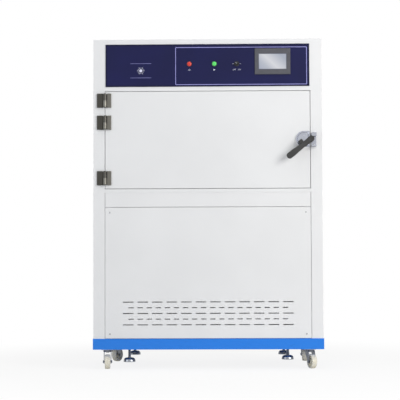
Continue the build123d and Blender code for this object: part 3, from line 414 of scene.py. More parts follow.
def moulded(name, colour, roughness, grain_scale=1800, grain_height=0.00003):
    """Moulded plastic: a fine grain, slight clouds and specks of dust."""
    finish = Finish(name, IOR=1.5)
    texture = finish.grain(grain_scale, 2)
    sink = finish.grain(30, 3)
    tone = finish.shades(sink.step(0.3, 0.75), colour, 0.9, 1.08)
    dust = finish.grain(700, 2).step(0.68, 0.78) * 0.18
    tone = finish.blend(dust, tone, (0.45, 0.44, 0.42))
    return finish.covered(tone, roughness - 0.06 + sink * 0.12, texture, grain_height, 0.5)


def soft_rubber(name, colour):
    """Silicone rubber: matt, with a talc bloom and fine pores."""
    finish = Finish(name, IOR=1.43, Sheen_Weight=0.2, Sheen_Roughness=0.5)
    bloom = finish.grain(40, 5, 0.65)
    pores = finish.grain(1600, 2)
    tone = finish.shades(bloom.step(0.4, 0.75), colour, 1, 1.3)
    return finish.covered(tone, 0.62 + bloom * 0.16, pores, 0.00004, 0.5)


def glass_wool(name, colour):
    """Glass wool: matted fibres in darker and lighter tufts."""
    finish = Finish(name, Roughness=0.95, Sheen_Weight=0.35)
    tufts = finish.grain(26, 5, 0.7)
    fibres = finish.grain(420, 4, 0.75, finish.stretched(1, 0.25, 0.4), 1.5)
    tone = finish.shades(tufts.step(0.3, 0.7), colour, 0.66, 1)
    tone = finish.blend(fibres.step(0.55, 0.7) * 0.5, tone, shade(colour, 1.25))
    return finish.set(Base_Color=tone, Normal=finish.bump(tufts + fibres * 0.4, 0.0015, 0.8))


def lamp_glass(name):
    """Fluorescent tube: milky glass, grey near its ends, with aluminium caps."""
    low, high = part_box("uv_lamps")
    half = (high.x - low.x) / 2
    cap_length = 0.032
    finish = Finish(name, IOR=1.5, Coat_Weight=0.6, Coat_Roughness=0.04)
    from_end = half - abs(finish.along("X") - (low.x + high.x) / 2)
    cap = 1 - from_end.step(cap_length - 0.0002, cap_length + 0.0002)
    soot = 1 - from_end.step(0.034, 0.085)
    coating = finish.grain(35, 3)
    tone = finish.blend(coating.step(0.3, 0.7), rgb(226, 228, 238), rgb(240, 241, 247))
    tone = finish.blend(soot * 0.6, tone, rgb(150, 146, 150))
    tone = finish.blend(cap, tone, rgb(196, 197, 200))
    lines = finish.grain(1500, 2, 0.6, finish.stretched(0.1, 1, 1))
    return finish.covered(tone, 0.18 + cap * 0.16 + coating * 0.05, lines * cap, 0.00002, 0.5, Metallic=cap)


def coated_samples(name):
    """Coated test panels: each in its own paint, chalked in patches."""
    across, deep = 0.106, 0.155  # One sample's share of the rack
    finish = Finish(name, IOR=1.5, Coat_Weight=0.3, Coat_Roughness=0.15)
    column = finish.along("X") / across + 50.0
    row = finish.along("Y") / deep + 20.0
    number = finish.node(
        "ShaderNodeCombineXYZ", sockets={0: column.math("FLOOR", column), 1: row.math("FLOOR", row)})
    pick = finish.node("ShaderNodeTexWhiteNoise", {"noise_dimensions": "2D"}, {"Vector": number})
    paints = (
        (236, 234, 226), (58, 92, 148), (176, 42, 36), (88, 110, 82), (222, 186, 70), (70, 72, 76),
        (198, 200, 202))
    stops = [(place / len(paints), paint) for place, paint in enumerate(paints)]
    tone = finish.ramp(pick, stops, "CONSTANT")
    chalk = finish.grain(38, 5, 0.6)
    tone = finish.blend(chalk.step(0.4, 0.8) * 0.3, tone, (0.75, 0.75, 0.74))
    return finish.covered(tone, 0.25 + chalk * 0.3, finish.grain(900, 2), 0.00002, 0.4)


def pilot_lens(name, node, rim, middle, glow):
    """Ribbed lens of a pilot lamp, with another tone at its rim and the lamp's glow in its middle. On the red lens
    the pale rim is a painted highlight.
    """
    centre = middle_of(node)
    finish = Finish(name, IOR=1.5, Coat_Weight=1.0, Coat_Roughness=0.03, Subsurface_Weight=0.15)
    across = finish.along("X") - centre.x
    up = finish.along("Z") - centre.z
    squares = across * across + up * up
    at_rim = squares.math("SQRT", squares).step(0.0062, 0.0102)
    from_centre = finish.node(
        "ShaderNodeVectorMath", {"operation": "SUBTRACT"}, {0: finish.place(), 1: tuple(centre)})
    ribs = finish.node(
        "ShaderNodeTexWave", {"wave_type": "RINGS", "rings_direction": "SPHERICAL"},
        {"Vector": from_centre, "Scale": 160.0})
    # The rim's tone: on the red lens a pale painted highlight, which the rim's dimmed glow repeats
    tone = finish.blend(at_rim, middle, rim)
    light = finish.blend(at_rim, glow, shade(rim, 0.6))
    return finish.covered(
        tone, 0.12 + ribs * 0.08, ribs, 0.0001, 0.5, Emission_Color=light, Emission_Strength=0.22)


def screen_glass(name):
    """Screen of the display under its film: a slanting silvery sheen and a dark border."""
    low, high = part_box("display_screen")
    finish = Finish(name, IOR=1.52, Coat_Weight=0.7, Coat_Roughness=0.05)
    width = finish.along("X")
    height = finish.along("Z")
    slant = (width - low.x) / (high.x - low.x) * 0.75 + (height - low.z) / (high.z - low.z) * 0.45
    sheen = finish.ramp(slant, (
        (0.0, (156, 162, 182)), (0.3, (176, 181, 194)), (0.55, (206, 208, 214)), (0.8, (182, 186, 197)),
        (1.0, (160, 166, 182))))
    border = 1 - finish.from_edge("display_screen").step(0.0022, 0.003)
    bubbles = finish.cells(70).step(0.02, 0.05)
    tone = finish.blend(border * 0.75, sheen, rgb(70, 80, 105))
    return finish.covered(
        tone, 0.16 + finish.grain(30, 3) * 0.12, bubbles + finish.grain(12, 2), 0.00005, 0.25)


def translucent_tank(name, colour):
    """Blow-moulded tank: milky plastic, darker below its water line."""
    low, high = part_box("water_tank")
    filled = 0.62
    finish = Finish(name, IOR=1.5, Subsurface_Weight=0.2)
    level = low.z + (high.z - low.z) * filled
    wet = 1 - finish.along("Z").step(level - 0.002, level + 0.002)
    ripple = finish.grain(24, 3)
    tone = finish.shades(wet * 0.5, colour, 1, 0.72)
    tone = finish.blend(ripple.step(0.35, 0.7) * 0.4, tone, shade(colour, 0.9))
    return finish.covered(tone, 0.36 + ripple * 0.14, ripple, 0.0006, 0.5)


def cast_wheel(name, tread, dust):
    """Cast wheel: smooth plastic with floor dust in patches."""
    finish = Finish(name, IOR=1.48)
    dirt = finish.grain(90, 5, 0.65)
    fine = finish.grain(1100, 2)
    tone = finish.blend(dirt.step(0.45, 0.75) * 0.55, tread, shade(dust, 0.72))
    return finish.covered(tone, 0.42 + dirt * 0.2, fine + dirt * 2, 0.00004, 0.5)


def hammered(name, colour):
    """Hammered enamel of the motors."""
    finish = Finish(name, IOR=1.5, Metallic=0.25, Coat_Weight=0.4, Coat_Roughness=0.2)
    dents = finish.cells(240, feature="SMOOTH_F1")
    tone = finish.shades(dents * 1.4, colour, 0.75, 1.3)
    return finish.covered(tone, 0.34 + dents * 0.2, dents, 0.0002, 0.6)


def make_finishes(scene):
    """Every finish by the name of its slot."""
    paint = scene.chamber_paint
    marks = scene.chamber_print
    latch = scene.chamber_latch
    hardware = scene.chamber_hardware
    casters = scene.chamber_casters
    recipes = {
        "white_paint": (powder_coat, paint.cabinet, paint.roughness, paint.peel),
        "blue_paint": (powder_coat, paint.skirt, paint.roughness - 0.08, paint.peel, 0.17),
        "navy_print": (printed_film, paint.panel),
        "zinc_plate": (galvanised, rgb(190, 192, 194)),
        "chrome_plate": (plated, hardware.chrome),
        "hinge_leaf": (plated, hardware.leaf, 0.26, 0.8),
        "dark_nickel": (plated, shade(hardware.leaf, 0.42), 0.24, 0.8),  # The frame's hinge leaves: the door leaves' plating painted darker, a painted shade
        "tongue_steel": (plated, rgb(150, 148, 142), 0.3, 0.8, 0.3),
        "stainless": (brushed, rgb(196, 197, 198), 0.3, (0.012, 1, 1)),
        "holder_aluminium": (brushed, rgb(206, 208, 211), 0.36, (1, 0.012, 1)),
        "reflector_aluminium": (brushed, rgb(228, 230, 233), 0.16, (0.01, 1, 1), 0.05),
        "sample_coating": (coated_samples,),
        "probe_black": (moulded, rgb(20, 20, 21), 0.7),
        "glass_wool": (glass_wool, rgb(222, 196, 112)),
        "seal_rubber": (soft_rubber, rgb(66, 68, 70)),
        "lamp_tube": (lamp_glass,),
        "socket_plastic": (moulded, rgb(232, 231, 226), 0.4),
        "motor_paint": (hammered, rgb(56, 64, 72)),
        "lever_plastic": (moulded, latch.colour, 0.4, 1500, 0.00004),
        "knob_plastic": (moulded, rgb(18, 18, 20), 0.34),
        "collar_plastic": (moulded, rgb(34, 34, 40), 0.36),
        # The red lens's pale rim colour is a painted highlight
        "red_lens": (pilot_lens, "power_lamp", rgb(238, 150, 126), rgb(150, 18, 14), rgb(190, 10, 6)),
        "green_lens": (pilot_lens, "run_lamp", rgb(18, 150, 92), rgb(40, 226, 140), rgb(10, 220, 120)),
        "display_plastic": (moulded, rgb(76, 77, 84), 0.5, 1300, 0.00004),
        "display_glass": (screen_glass,),
        "wheel_ivory": (cast_wheel, casters.tread, casters.dust),
        "tank_plastic": (translucent_tank, rgb(226, 230, 232)),
        "ballast_case": (powder_coat, rgb(226, 226, 224), 0.4, 0.00002),
        "fitting_brass": (plated, rgb(214, 170, 92), 0.26, 0.8, 0.25),
        "fork_zinc": (plated, rgb(120, 124, 132), 0.3, 0.8, 0.3),
        "foot_plate": (plated, rgb(150, 154, 160), 0.2, 0.6, 0.2),
        "white_ink": (moulded, marks.white, 0.5, 3000, 0.00001),
        "line_ink": (moulded, marks.ink, 0.5, 3000, 0.00001),
        "screw_zinc": (plated, rgb(176, 178, 180), 0.24, 0.6, 0.15),
    }
    return {name: maker(name, *values) for name, (maker, *values) in recipes.items()}


NODE_FINISHES = {
    # The frame's leaves take a darker copy of the door leaves' plating: painted shade
    "hinge_frame_leaves": "dark_nickel",
    "hinge_door_leaves": "hinge_leaf",
}
for corner in CORNERS:
    NODE_FINISHES["caster_fork_" + corner] = "fork_zinc"
    NODE_FINISHES["levelling_foot_" + corner] = "foot_plate"


def finish_named(name):
    """A finish that has been made already."""
    made = bpy.data.materials.get(name)
    if made is None:
        raise RuntimeError(f"the finish {name} isn't made yet")
    return made


# Meshes


def add_piece(name, shape, finish, body, smooth=35):
    """Turns a finished shape into an object with its material, and fixes it to its body."""
    bmesh.ops.remove_doubles(shape, verts=shape.verts, dist=1e-7)
    bmesh.ops.recalc_face_normals(shape, faces=shape.faces)
    mesh = bpy.data.meshes.new(name)
    shape.to_mesh(mesh)
    shape.free()
    mesh.shade_smooth()
    mesh.set_sharp_from_angle(angle=math.radians(smooth))
    mesh.materials.append(finish_named(finish))
    piece = bpy.data.objects.new(name, mesh)
    bpy.context.scene.collection.objects.link(piece)
    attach(piece, body)
    return piece


def axes_of(direction, about=None):
    """A turn that lays Z along a direction, with X as near as can be to another one."""
    up = Vector(direction).normalized()
    if about is None:
        about = RIGHT if abs(up.x) < 0.9 else (0, 0, 1)
    side = Vector(about)
    side = (side - up * side.dot(up)).normalized()
    return Matrix((side, up.cross(side), up)).transposed().to_4x4()


def set_at(place, direction=(0, 0, 1), about=None):
    """A place and a turn in one matrix."""
    return Matrix.Translation(Vector(place)) @ axes_of(direction, about)


def points(shape, where, places):
    """Adds points that are given in the axes of a place."""
    return [shape.verts.new(where @ Vector(place)) for place in places]


def skin(shape, rings):
    """Joins rings of points with faces, each to the next. They have equal counts or are a single point."""
    count = max(len(ring) for ring in rings)
    for low, high in zip(rings, rings[1:]):
        for index in range(count):
            after = (index + 1) % count
            corners = [
                low[index % len(low)], low[after % len(low)], high[after % len(high)],
                high[index % len(high)]]
            unique = list(dict.fromkeys(corners))
            if len(unique) > 2:
                shape.faces.new(unique)


def lathe(shape, profile, where, steps, radius_at=None):
    """Turns a profile of (radius, height) points about a place's Z axis. A radius of nothing closes it."""
    rings = []
    for radius, height in profile:
        if radius < 1e-7:
            rings.append(points(shape, where, [(0, 0, height)]))
            continue
        ring = []
        for step in range(steps):
            angle = 2 * math.pi * step / steps
            reach = radius_at(radius, height, angle) if radius_at else radius
            ring.append((reach * math.cos(angle), reach * math.sin(angle), height))
        rings.append(points(shape, where, ring))
    skin(shape, rings)


def prism(shape, outline, where, height, edge=0.0, edge_steps=3):
    """Raises an outline of (x, y) points along the Z axis of a place, with its top edge rounded."""
    layers = [(0.0, 0.0)]
    if edge:
        for step in range(edge_steps + 1):
            angle = math.pi / 2 * step / edge_steps
            layers.append((edge * (1 - math.cos(angle)), height - edge + edge * math.sin(angle)))
    else:
        layers.append((0.0, height))
    count = len(outline)
    rings = []
    for inset, level in layers:
        ring = []
        for index, (x, y) in enumerate(outline):
            before = Vector(outline[index - 1])
            after = Vector(outline[(index + 1) % count])
            here = Vector((x, y))
            into = (here - before).normalized() + (after - here).normalized()
            normal = Vector((-into.y, into.x)).normalized()
            moved = here + normal * inset
            ring.append((moved.x, moved.y, level))
        rings.append(points(shape, where, ring))
    skin(shape, rings)
    shape.faces.new(rings[-1])
    shape.faces.new(list(reversed(rings[0])))


def circle_outline(radius, steps, centre=(0, 0), start=0.0, turn=2 * math.pi, closed=True):
    """Points round a circle or an arc, against the clock."""
    last = steps if closed else steps - 1
    angles = [start + turn * step / last for step in range(steps)]
    return [(centre[0] + radius * math.cos(a), centre[1] + radius * math.sin(a)) for a in angles]


def rounded_outline(width, height, corner, steps=5):
    """Points round a rectangle with rounded corners, against the clock."""
    outline = []
    for index, (x, y) in enumerate(QUARTERS):
        centre = (x * (width / 2 - corner), y * (height / 2 - corner))
        outline += circle_outline(corner, steps, centre, index * math.pi / 2, math.pi / 2, closed=False)
    return outline


def ring_prism(shape, outer, inner, where, height):
    """Raises the band between two outlines with equal counts."""
    rings = [points(shape, where, [(x, y, level) for x, y in outline])
             for outline, level in ((inner, 0), (outer, 0), (outer, height), (inner, height))]
    skin(shape, rings + rings[:1])


def pan_head(shape, place, direction, radius, turn):
    """A pan-head screw with a cross recess, sitting on a face and pointing out of it."""
    where = set_at(place, direction) @ Matrix.Rotation(turn, 4, "Z")
    height = radius * 0.56
    arm = radius * 0.52
    arm_half = radius * 0.13
    recess_floor = height - height * 0.45
    steps = 32
    crown_profile = (
        (radius * 0.96, 0.0), (radius, height * 0.18), (radius * 0.94, height * 0.55),
        (radius * 0.74, height * 0.86))
    rings = [points(shape, where, [(x, y, level) for x, y in circle_outline(reach, steps)])
             for reach, level in crown_profile]
    skin(shape, rings)
    shape.faces.new(list(reversed(rings[0])))
    cross = []
    for quarter in range(4):
        spin = Matrix.Rotation(math.pi / 2 * quarter, 2)
        for corner in ((arm_half, arm_half), (arm_half, arm), (-arm_half, arm)):
            cross.append(spin @ Vector(corner))
    edge = points(shape, where, [(p.x, p.y, height) for p in cross])
    floor = points(shape, where, [(p.x * 0.7, p.y * 0.7, recess_floor) for p in cross])
    crown = rings[-1]
    skin(shape, [edge, floor])
    angles = [math.atan2(p.y, p.x) % (2 * math.pi) for p in cross]
    nearest = [round(angle / (2 * math.pi) * steps) % steps for angle in angles]
    for index in range(len(cross)):
        after = (index + 1) % len(cross)
        span = (nearest[after] - nearest[index]) % steps
        between = [crown[(nearest[index] + step) % steps] for step in range(span + 1)]
        shape.faces.new(list(dict.fromkeys([edge[after], edge[index]] + between)))
    shape.faces.new(floor)


def hex_bolt(shape, place, direction, across, height, turn):
    """A hexagon head with its corners turned off, on a thin washer."""
    where = set_at(place, direction) @ Matrix.Rotation(turn, 4, "Z")
    washer = across * 0.075
    washer_radius = across * 0.82
    chamfer = height * 0.12
    top = washer + height
    steps = 36
    lathe(shape, ((0, 0), (washer_radius, 0), (washer_radius, washer), (0, washer)), where, steps)

    def flat(radius, level, angle):
        corner = math.pi / 3
        inside = across / 2 / math.cos((angle + corner / 2) % corner - corner / 2)
        return min(radius, inside)

    far = across / 2 / math.cos(math.pi / 6)
    profile = (
        (0, washer), (across / 2, washer), (far, washer + chamfer), (far, top - chamfer), (across / 2, top),
        (0, top))
    lathe(shape, profile, where, steps, flat)


def text_shape(shape, words, place, size, depth):
    """Plain printed words on a front face, centred on a place."""
    curve = bpy.data.curves.new("words", "FONT")
    curve.body = words
    curve.size = size
    curve.align_x = "CENTER"
    curve.align_y = "CENTER"
    curve.extrude = depth / 2
    letters = bpy.data.objects.new("words", curve)
    mesh = bpy.data.meshes.new_from_object(letters)
    mesh.transform(set_at(place, FRONT, RIGHT))
    shape.from_mesh(mesh)
    bpy.data.objects.remove(letters)
    bpy.data.curves.remove(curve)
    bpy.data.meshes.remove(mesh)


# Pieces


class ChamberOperator(bpy.types.Operator):
    """Shared settings of the chamber's operators."""
    bl_options = {"REGISTER", "UNDO"}


class CHAMBER_OT_finishes(ChamberOperator):
    """Makes every finish and gives it to the construction's own pieces"""
    bl_idname = "chamber.finishes"
    bl_label = "Finish the construction"

    def execute(self, context):
        finishes = make_finishes(context.scene)
        slots = {part["node"]: part["material_slot"] for part in frame["record"]["subparts"]}
        for name, node in frame["nodes"].items():
            chosen = finishes[NODE_FINISHES.get(name, slots[name])]
            if not node.material_slots:
                node.data.materials.append(chosen)
            for held in node.material_slots:
                held.material = chosen
        return {"FINISHED"}


class CHAMBER_OT_panel_print(ChamberOperator):
    """Prints the line round the controls, the sun sign and the small signs on the control panel"""
    bl_idname = "chamber.panel_print"
    bl_label = "Print the control panel"

    def execute(self, context):
        marks = context.scene.chamber_print
        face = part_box("control_panel")[0].y
        thick = marks.ink_height
        sign_x = -0.3733

        def on_panel(x, z):
            return set_at((x, face, z), FRONT, RIGHT)

        def stroke(shape, width, height, corner, where):
            prism(shape, rounded_outline(width, height, corner, 3), where, thick)

        left, right, bottom, top = -0.1793, 0.5582, 1.5872, 1.8000
        width, height = right - left, top - bottom
        lines = bmesh.new()
        ring_prism(
            lines, rounded_outline(width, height, marks.corner),
            rounded_outline(width - 2 * marks.line, height - 2 * marks.line, marks.corner - marks.line * 0.6),
            on_panel((left + right) / 2, (bottom + top) / 2), thick)
        rule_length = 0.118
        for z in (1.7088, 1.6285):
            stroke(lines, rule_length, marks.rule, marks.rule * 0.45, on_panel(sign_x, z))
        add_piece("panel_lines", lines, "line_ink", "cabinet")

        signs = bmesh.new()
        sun_z = 1.6686
        disc, ray_start, long_ray, short_ray, rays = 0.0085, 0.0125, 0.0215, 0.0180, 12
        prism(signs, circle_outline(disc, 40), on_panel(sign_x, sun_z), thick)
        for ray in range(rays):
            angle = 2 * math.pi * ray / rays
            reach = long_ray if ray % 2 == 0 else short_ray
            middle = (ray_start + reach) / 2
            where = on_panel(sign_x + middle * math.cos(angle), sun_z + middle * math.sin(angle))
            stroke(signs, reach - ray_start, 0.0022, 0.001, where @ Matrix.Rotation(angle, 4, "Z"))

        under = 1.6720
        power_x = middle_of("power_lamp").x
        gap = math.radians(35)
        outer, inner = (
            circle_outline(radius, 28, (0, 0), math.pi / 2 + gap, 2 * math.pi - 2 * gap, closed=False)
            for radius in (0.0052, 0.0039))
        prism(signs, outer + list(reversed(inner)), on_panel(power_x, under), thick)
        stroke(signs, 0.0013, 0.0062, 0.0005, on_panel(power_x, under + 0.0036))
        arrow = [(-0.004, -0.005), (0.0055, 0), (-0.004, 0.005)]
        prism(signs, arrow, on_panel(middle_of("run_lamp").x, under), thick)

        knob = middle_of("selector_knob")
        letter_size = 0.0105
        for side in (-1, 1):
            stroke(signs, 0.0065, 0.0022, 0.001, on_panel(knob.x + side * 0.0205, knob.z))
        for words, shift in (("OFF", -0.013), ("ON", 0.015)):
            text_shape(signs, words, (knob.x + shift, face - thick / 2, under), letter_size, thick)
        add_piece("panel_signs", signs, "white_ink", "cabinet")
        return {"FINISHED"}


class CHAMBER_OT_pilot_lamps(ChamberOperator):
    """Puts domed, ribbed lenses over the two pilot lamps"""
    bl_idname = "chamber.pilot_lamps"
    bl_label = "Pilot lamp lenses"

    def execute(self, context):
        for node, finish in (("power_lamp", "red_lens"), ("run_lamp", "green_lens")):
            low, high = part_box(node)
            radius = (high.x - low.x) / 2
            depth = high.y - low.y
            centre = ((low.x + high.x) / 2, high.y, (low.z + high.z) / 2)
            dome_radius = radius * 0.9
            dome_start = depth * 0.34
            dome_height = depth - dome_start
            dome_steps = 8
            profile = [(0, 0), (radius, 0), (radius, depth * 0.28)]
            for step in range(1, dome_steps):
                angle = math.pi / 2 * step / dome_steps
                profile.append((dome_radius * math.cos(angle), dome_start + dome_height * math.sin(angle)))
            profile.append((0, depth))
            lens = bmesh.new()
            lathe(lens, profile, set_at(centre, FRONT), 48)
            piece = add_piece(node + "_lens", lens, finish, "cabinet")
            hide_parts(node)
        return {"FINISHED"}


class CHAMBER_OT_selector_mark(ChamberOperator):
    """Lays the white line into the selector's grip"""
    bl_idname = "chamber.selector_mark"
    bl_label = "Selector mark"

    def execute(self, context):
        grip_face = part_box("selector_knob")[0].y
        anchor = pivot_of("selector_turn")
        sunk, height, rest_angle, from_axis = 0.0003, 0.0004, math.radians(45), 0.0035
        where = set_at((anchor.x, grip_face + sunk, anchor.z), FRONT, RIGHT)
        where = where @ Matrix.Rotation(rest_angle, 4, "Z") @ Matrix.Translation((0, from_axis, 0))
        mark = bmesh.new()
        prism(mark, rounded_outline(0.0016, 0.0115, 0.0007, 4), where, height, 0.0001)
        add_piece("selector_line", mark, "white_ink", "selector")
        return {"FINISHED"}


# Half the lever's width at distances from its pivot, between the rounds of its head and its end
LEVER_WIDTHS = (
    (-0.032, 0.017), (0.0, 0.0150), (0.030, 0.0136), (0.062, 0.0154), (0.098, 0.0180), (0.122, 0.0172))
LEVER_START, LEVER_GRIP, LEVER_END = -0.049, 0.098, 0.138


def lever_half_width(along):
    """Half the lever's width at a distance from its pivot."""
    head, head_half = LEVER_WIDTHS[0]
    tip, tip_half = LEVER_WIDTHS[-1]
    if along <= head:
        return math.sqrt(max(0.0, head_half ** 2 - (along - head) ** 2))
    if along >= tip:
        far = min(1.0, (along - tip) / (LEVER_END - tip))
        return tip_half * math.sqrt(max(0.0, 1 - far ** 2.4))
    for (a, half_a), (b, half_b) in zip(LEVER_WIDTHS, LEVER_WIDTHS[1:]):
        if along <= b:
            return half_a + (half_b - half_a) * eased((along - a) / (b - a))


class CHAMBER_OT_latch_lever(ChamberOperator):
    """Models the moulded lever with soft edges, the oval recess and a black block by its head that paints the
    lever's shadow
    """
    bl_idname = "chamber.latch_lever"
    bl_label = "Latch lever"

    def execute(self, context):
        latch = context.scene.chamber_latch
        anchor = pivot_of("latch_turn")
        low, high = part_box("latch_lever")
        rest_angle = math.radians(218)
        pointing = Vector((math.cos(rest_angle), 0, math.sin(rest_angle)))
        where = set_at((anchor.x, high.y, anchor.z), FRONT, pointing)
        thick = 0.019
        rise = (high.y - low.y) - thick
        reach = LEVER_END - LEVER_START
        stations, across = 74, 17
        recess_middle, recess_long, recess_wide = LEVER_WIDTHS[0][0], 0.0125, 0.008
        recess_rim, recess_slope = 1.25, 0.45
        under_share = 0.97  # The underside's width as a share of the lever's
        edge = latch.edge
        lever = bmesh.new()
        rings = []
        for index in range(stations + 1):
            share = index / stations
            bunched = 0.5 - 0.5 * math.cos(math.pi * share)
            along = LEVER_START + reach * bunched * 0.5 + reach * share * 0.5
            half = lever_half_width(along)
            floor = rise * eased(max(0.0, min(1.0, along / LEVER_GRIP)))
            ring = []
            for step in range(across):
                side = half * math.sin((-1 + 2 * step / (across - 1)) * math.pi / 2)
                inset = max(0.0, abs(side) - max(0.0, half - edge))
                round_off = edge - math.sqrt(max(0.0, edge ** 2 - inset ** 2))
                oval = ((along - recess_middle) / recess_long) ** 2 + (side / recess_wide) ** 2
                dip = latch.recess * max(0.0, min(1.0, (recess_rim - oval) / recess_slope))
                ring.append((along, side, floor + thick - round_off - dip))
            ring.append((along, half, floor + thick * 0.5))
            for turn in (90, 45, 0, -45, -90):
                ring.append((along, half * math.sin(math.radians(turn)) * under_share, floor))
            ring.append((along, -half, floor + thick * 0.5))
            rings.append(points(lever, where, ring))
        skin(lever, rings)
        lever.faces.new(rings[0])
        lever.faces.new(list(reversed(rings[-1])))
        # A black block on the lever where its shadow falls on the chrome base: a painted shadow
        painted_shadow_block = rounded_outline(0.026, 0.032, 0.0055, 6)
        painted_shadow_place = Matrix.Translation((0.024, -0.018, 0.0005))
        painted_shadow_height, painted_shadow_edge = 0.0165, 0.004
        prism(lever, painted_shadow_block, where @ painted_shadow_place, painted_shadow_height, painted_shadow_edge, 5)
        piece = add_piece("moulded_lever", lever, "lever_plastic", "latch", 50)
        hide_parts("latch_lever")
        return {"FINISHED"}


class CHAMBER_OT_front_screws(ChamberOperator):
    """Fits cross-head screws to the vent panel and the latch's keeper"""
    bl_idname = "chamber.front_screws"
    bl_label = "Front screws"

    def execute(self, context):
        radius = context.scene.chamber_hardware.screw_head
        low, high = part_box("vent_panel_screws")
        panel_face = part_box("vent_panel")[0].y
        shank_radius, shank_length = 0.0025, 0.012
        shank = ((0, 0), (shank_radius, 0), (shank_radius, shank_length), (0, shank_length + 0.002))
        screws = bmesh.new()
        turn = 0.2
        for x in (low.x + radius, high.x - radius):
            for z in (low.z + radius, high.z - radius):
                pan_head(screws, (x, panel_face, z), FRONT, radius, turn)
                lathe(screws, shank, set_at((x, panel_face, z), BACK), 16)
                turn += 0.5
        piece = add_piece("vent_panel_screw_heads", screws, "screw_zinc", "cabinet")
        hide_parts("vent_panel_screws")

        low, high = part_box("latch_keeper")
        from_end, flange, keeper_radius = 0.011, 0.003, 0.0036
        holding = bmesh.new()
        for z in (low.z + from_end, high.z - from_end):
            pan_head(holding, ((low.x + high.x) / 2, high.y - flange, z), FRONT, keeper_radius, 0.6)
        add_piece("keeper_screws", holding, "screw_zinc", "cabinet")
        return {"FINISHED"}


class CHAMBER_OT_back_screws(ChamberOperator):
    """Fits screws round the two back panels"""
    bl_idname = "chamber.back_screws"
    bl_label = "Back panel screws"

    def execute(self, context):
        low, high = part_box("back_panels")
        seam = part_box("lower_side_panels")[1].z
        from_end, from_side, radius = 0.012, 0.02, 0.0042
        screws = bmesh.new()
        turn = 0.0
        for bottom, top in ((low.z, seam), (seam, high.z)):
            for level in (0.03, 0.5, 0.97):
                z = bottom + from_end + (top - bottom - 2 * from_end) * level
                for x in (low.x + from_side, high.x - from_side):
                    pan_head(screws, (x, high.y, z), BACK, radius, turn)
                    turn += 0.7
        add_piece("back_panel_screws", screws, "screw_zinc", "cabinet")
        return {"FINISHED"}


class CHAMBER_OT_door_seal(ChamberOperator):
    """Runs a domed rubber bead round the inside of the door"""
    bl_idname = "chamber.door_seal"
    bl_label = "Door seal"

    def execute(self, context):
        low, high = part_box("door_seal")
        half_x = (high.x - low.x) / 2
        half_z = (high.z - low.z) / 2
        middle = Vector((low.x + half_x, 0, low.z + half_z))
        width, corner, bend_steps = 0.014, 0.018, 6
        base = (high.y - low.y) * 0.35
        rise = (high.y - low.y) * 0.65
        profile = [(0, 0), (width, 0), (width, base)]
        for step in range(1, 8):
            angle = math.pi * step / 8
            profile.append((width / 2 + width / 2 * 0.86 * math.cos(angle), base + rise * math.sin(angle)))
        profile.append((0, base))
        bead = bmesh.new()
        rings = []
        for index, (sx, sz) in enumerate(QUARTERS):
            centre = middle + Vector((sx * (half_x - corner), 0, sz * (half_z - corner)))
            for step in range(bend_steps + 1):
                angle = math.pi / 2 * (index + step / bend_steps)
                out = Vector((math.cos(angle), 0, math.sin(angle)))
                rings.append([
                    bead.verts.new(centre + out * (corner - across) + Vector((0, low.y + up, 0)))
                    for across, up in profile])
        skin(bead, rings + rings[:1])
        piece = add_piece("door_seal_bead", bead, "seal_rubber", "door")
        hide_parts("door_seal")
        return {"FINISHED"}


class CHAMBER_OT_wheels(ChamberOperator):
    """Turns the caster wheels: a crowned tread with its mould line, and a ribbed web on each side"""
    bl_idname = "chamber.wheels"
    bl_label = "Caster wheels"

    def execute(self, context):
        casters = context.scene.chamber_casters
        radius, half, web, mould_line = 0.040, 0.016, 0.0048, 0.0004
        rib_middle, rib_foot, rib_height = 0.0208, 0.0046, 0.0068
        for corner in CORNERS:
            where = set_at(pivot_of("roll_" + corner), joint_named("roll_" + corner)["axis"])
            side = [
                (0.0062, -half), (0.0118, -half), (0.0124, -half + 0.0008), (0.0132, -web), (0.0276, -web),
                (0.0300, -half + 0.0022), (0.0318, -half + 0.0010), (0.0362, -half + 0.0010),
                (0.0384, -half + 0.0022), (0.0394, -half + 0.0046), (0.0398, -half + 0.0080),
                (radius, -0.0036), (radius, -0.0007), (radius - mould_line, 0.0)]
            profile = side + [(reach, -level) for reach, level in reversed(side[:-1])] + [side[0]]
            wheel = bmesh.new()
            lathe(wheel, profile, where, 72)
            for face in (-1, 1):
                for rib in range(casters.ribs):
                    turned = where @ Matrix.Rotation(2 * math.pi * rib / casters.ribs, 4, "Z")
                    foot = Matrix.Translation((rib_middle, 0, rib_foot * face))
                    base = turned @ foot @ axes_of((0, 0, face), RIGHT)
                    prism(wheel, rounded_outline(0.0162, 0.0026, 0.0012, 3), base, rib_height, 0.0006, 2)
            piece = add_piece(
                "turned_wheel_" + corner, wheel, "wheel_ivory", "wheel_" + corner, 38)
            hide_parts("caster_wheel_" + corner)
        return {"FINISHED"}


class CHAMBER_OT_caster_bolts(ChamberOperator):
    """Fits the four bolts that hold each caster's top plate"""
    bl_idname = "chamber.caster_bolts"
    bl_label = "Caster plate bolts"

    def execute(self, context):
        across = context.scene.chamber_hardware.bolt_across
        plate_thickness, head_height, half_pitch_x, half_pitch_y = 0.003, 0.0046, 0.0275, 0.0370
        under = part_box("caster_plates")[1].z - plate_thickness
        bolts = bmesh.new()
        for corner in CORNERS:
            centre = pivot_of("swivel_" + corner)
            for sx in (-1, 1):
                for sy in (-1, 1):
                    place = (centre.x + sx * half_pitch_x, centre.y + sy * half_pitch_y, under)
                    hex_bolt(bolts, place, (0, 0, -1), across, head_height, 0.4 * sx)
        add_piece("caster_plate_bolts", bolts, "screw_zinc", "cabinet")
        return {"FINISHED"}


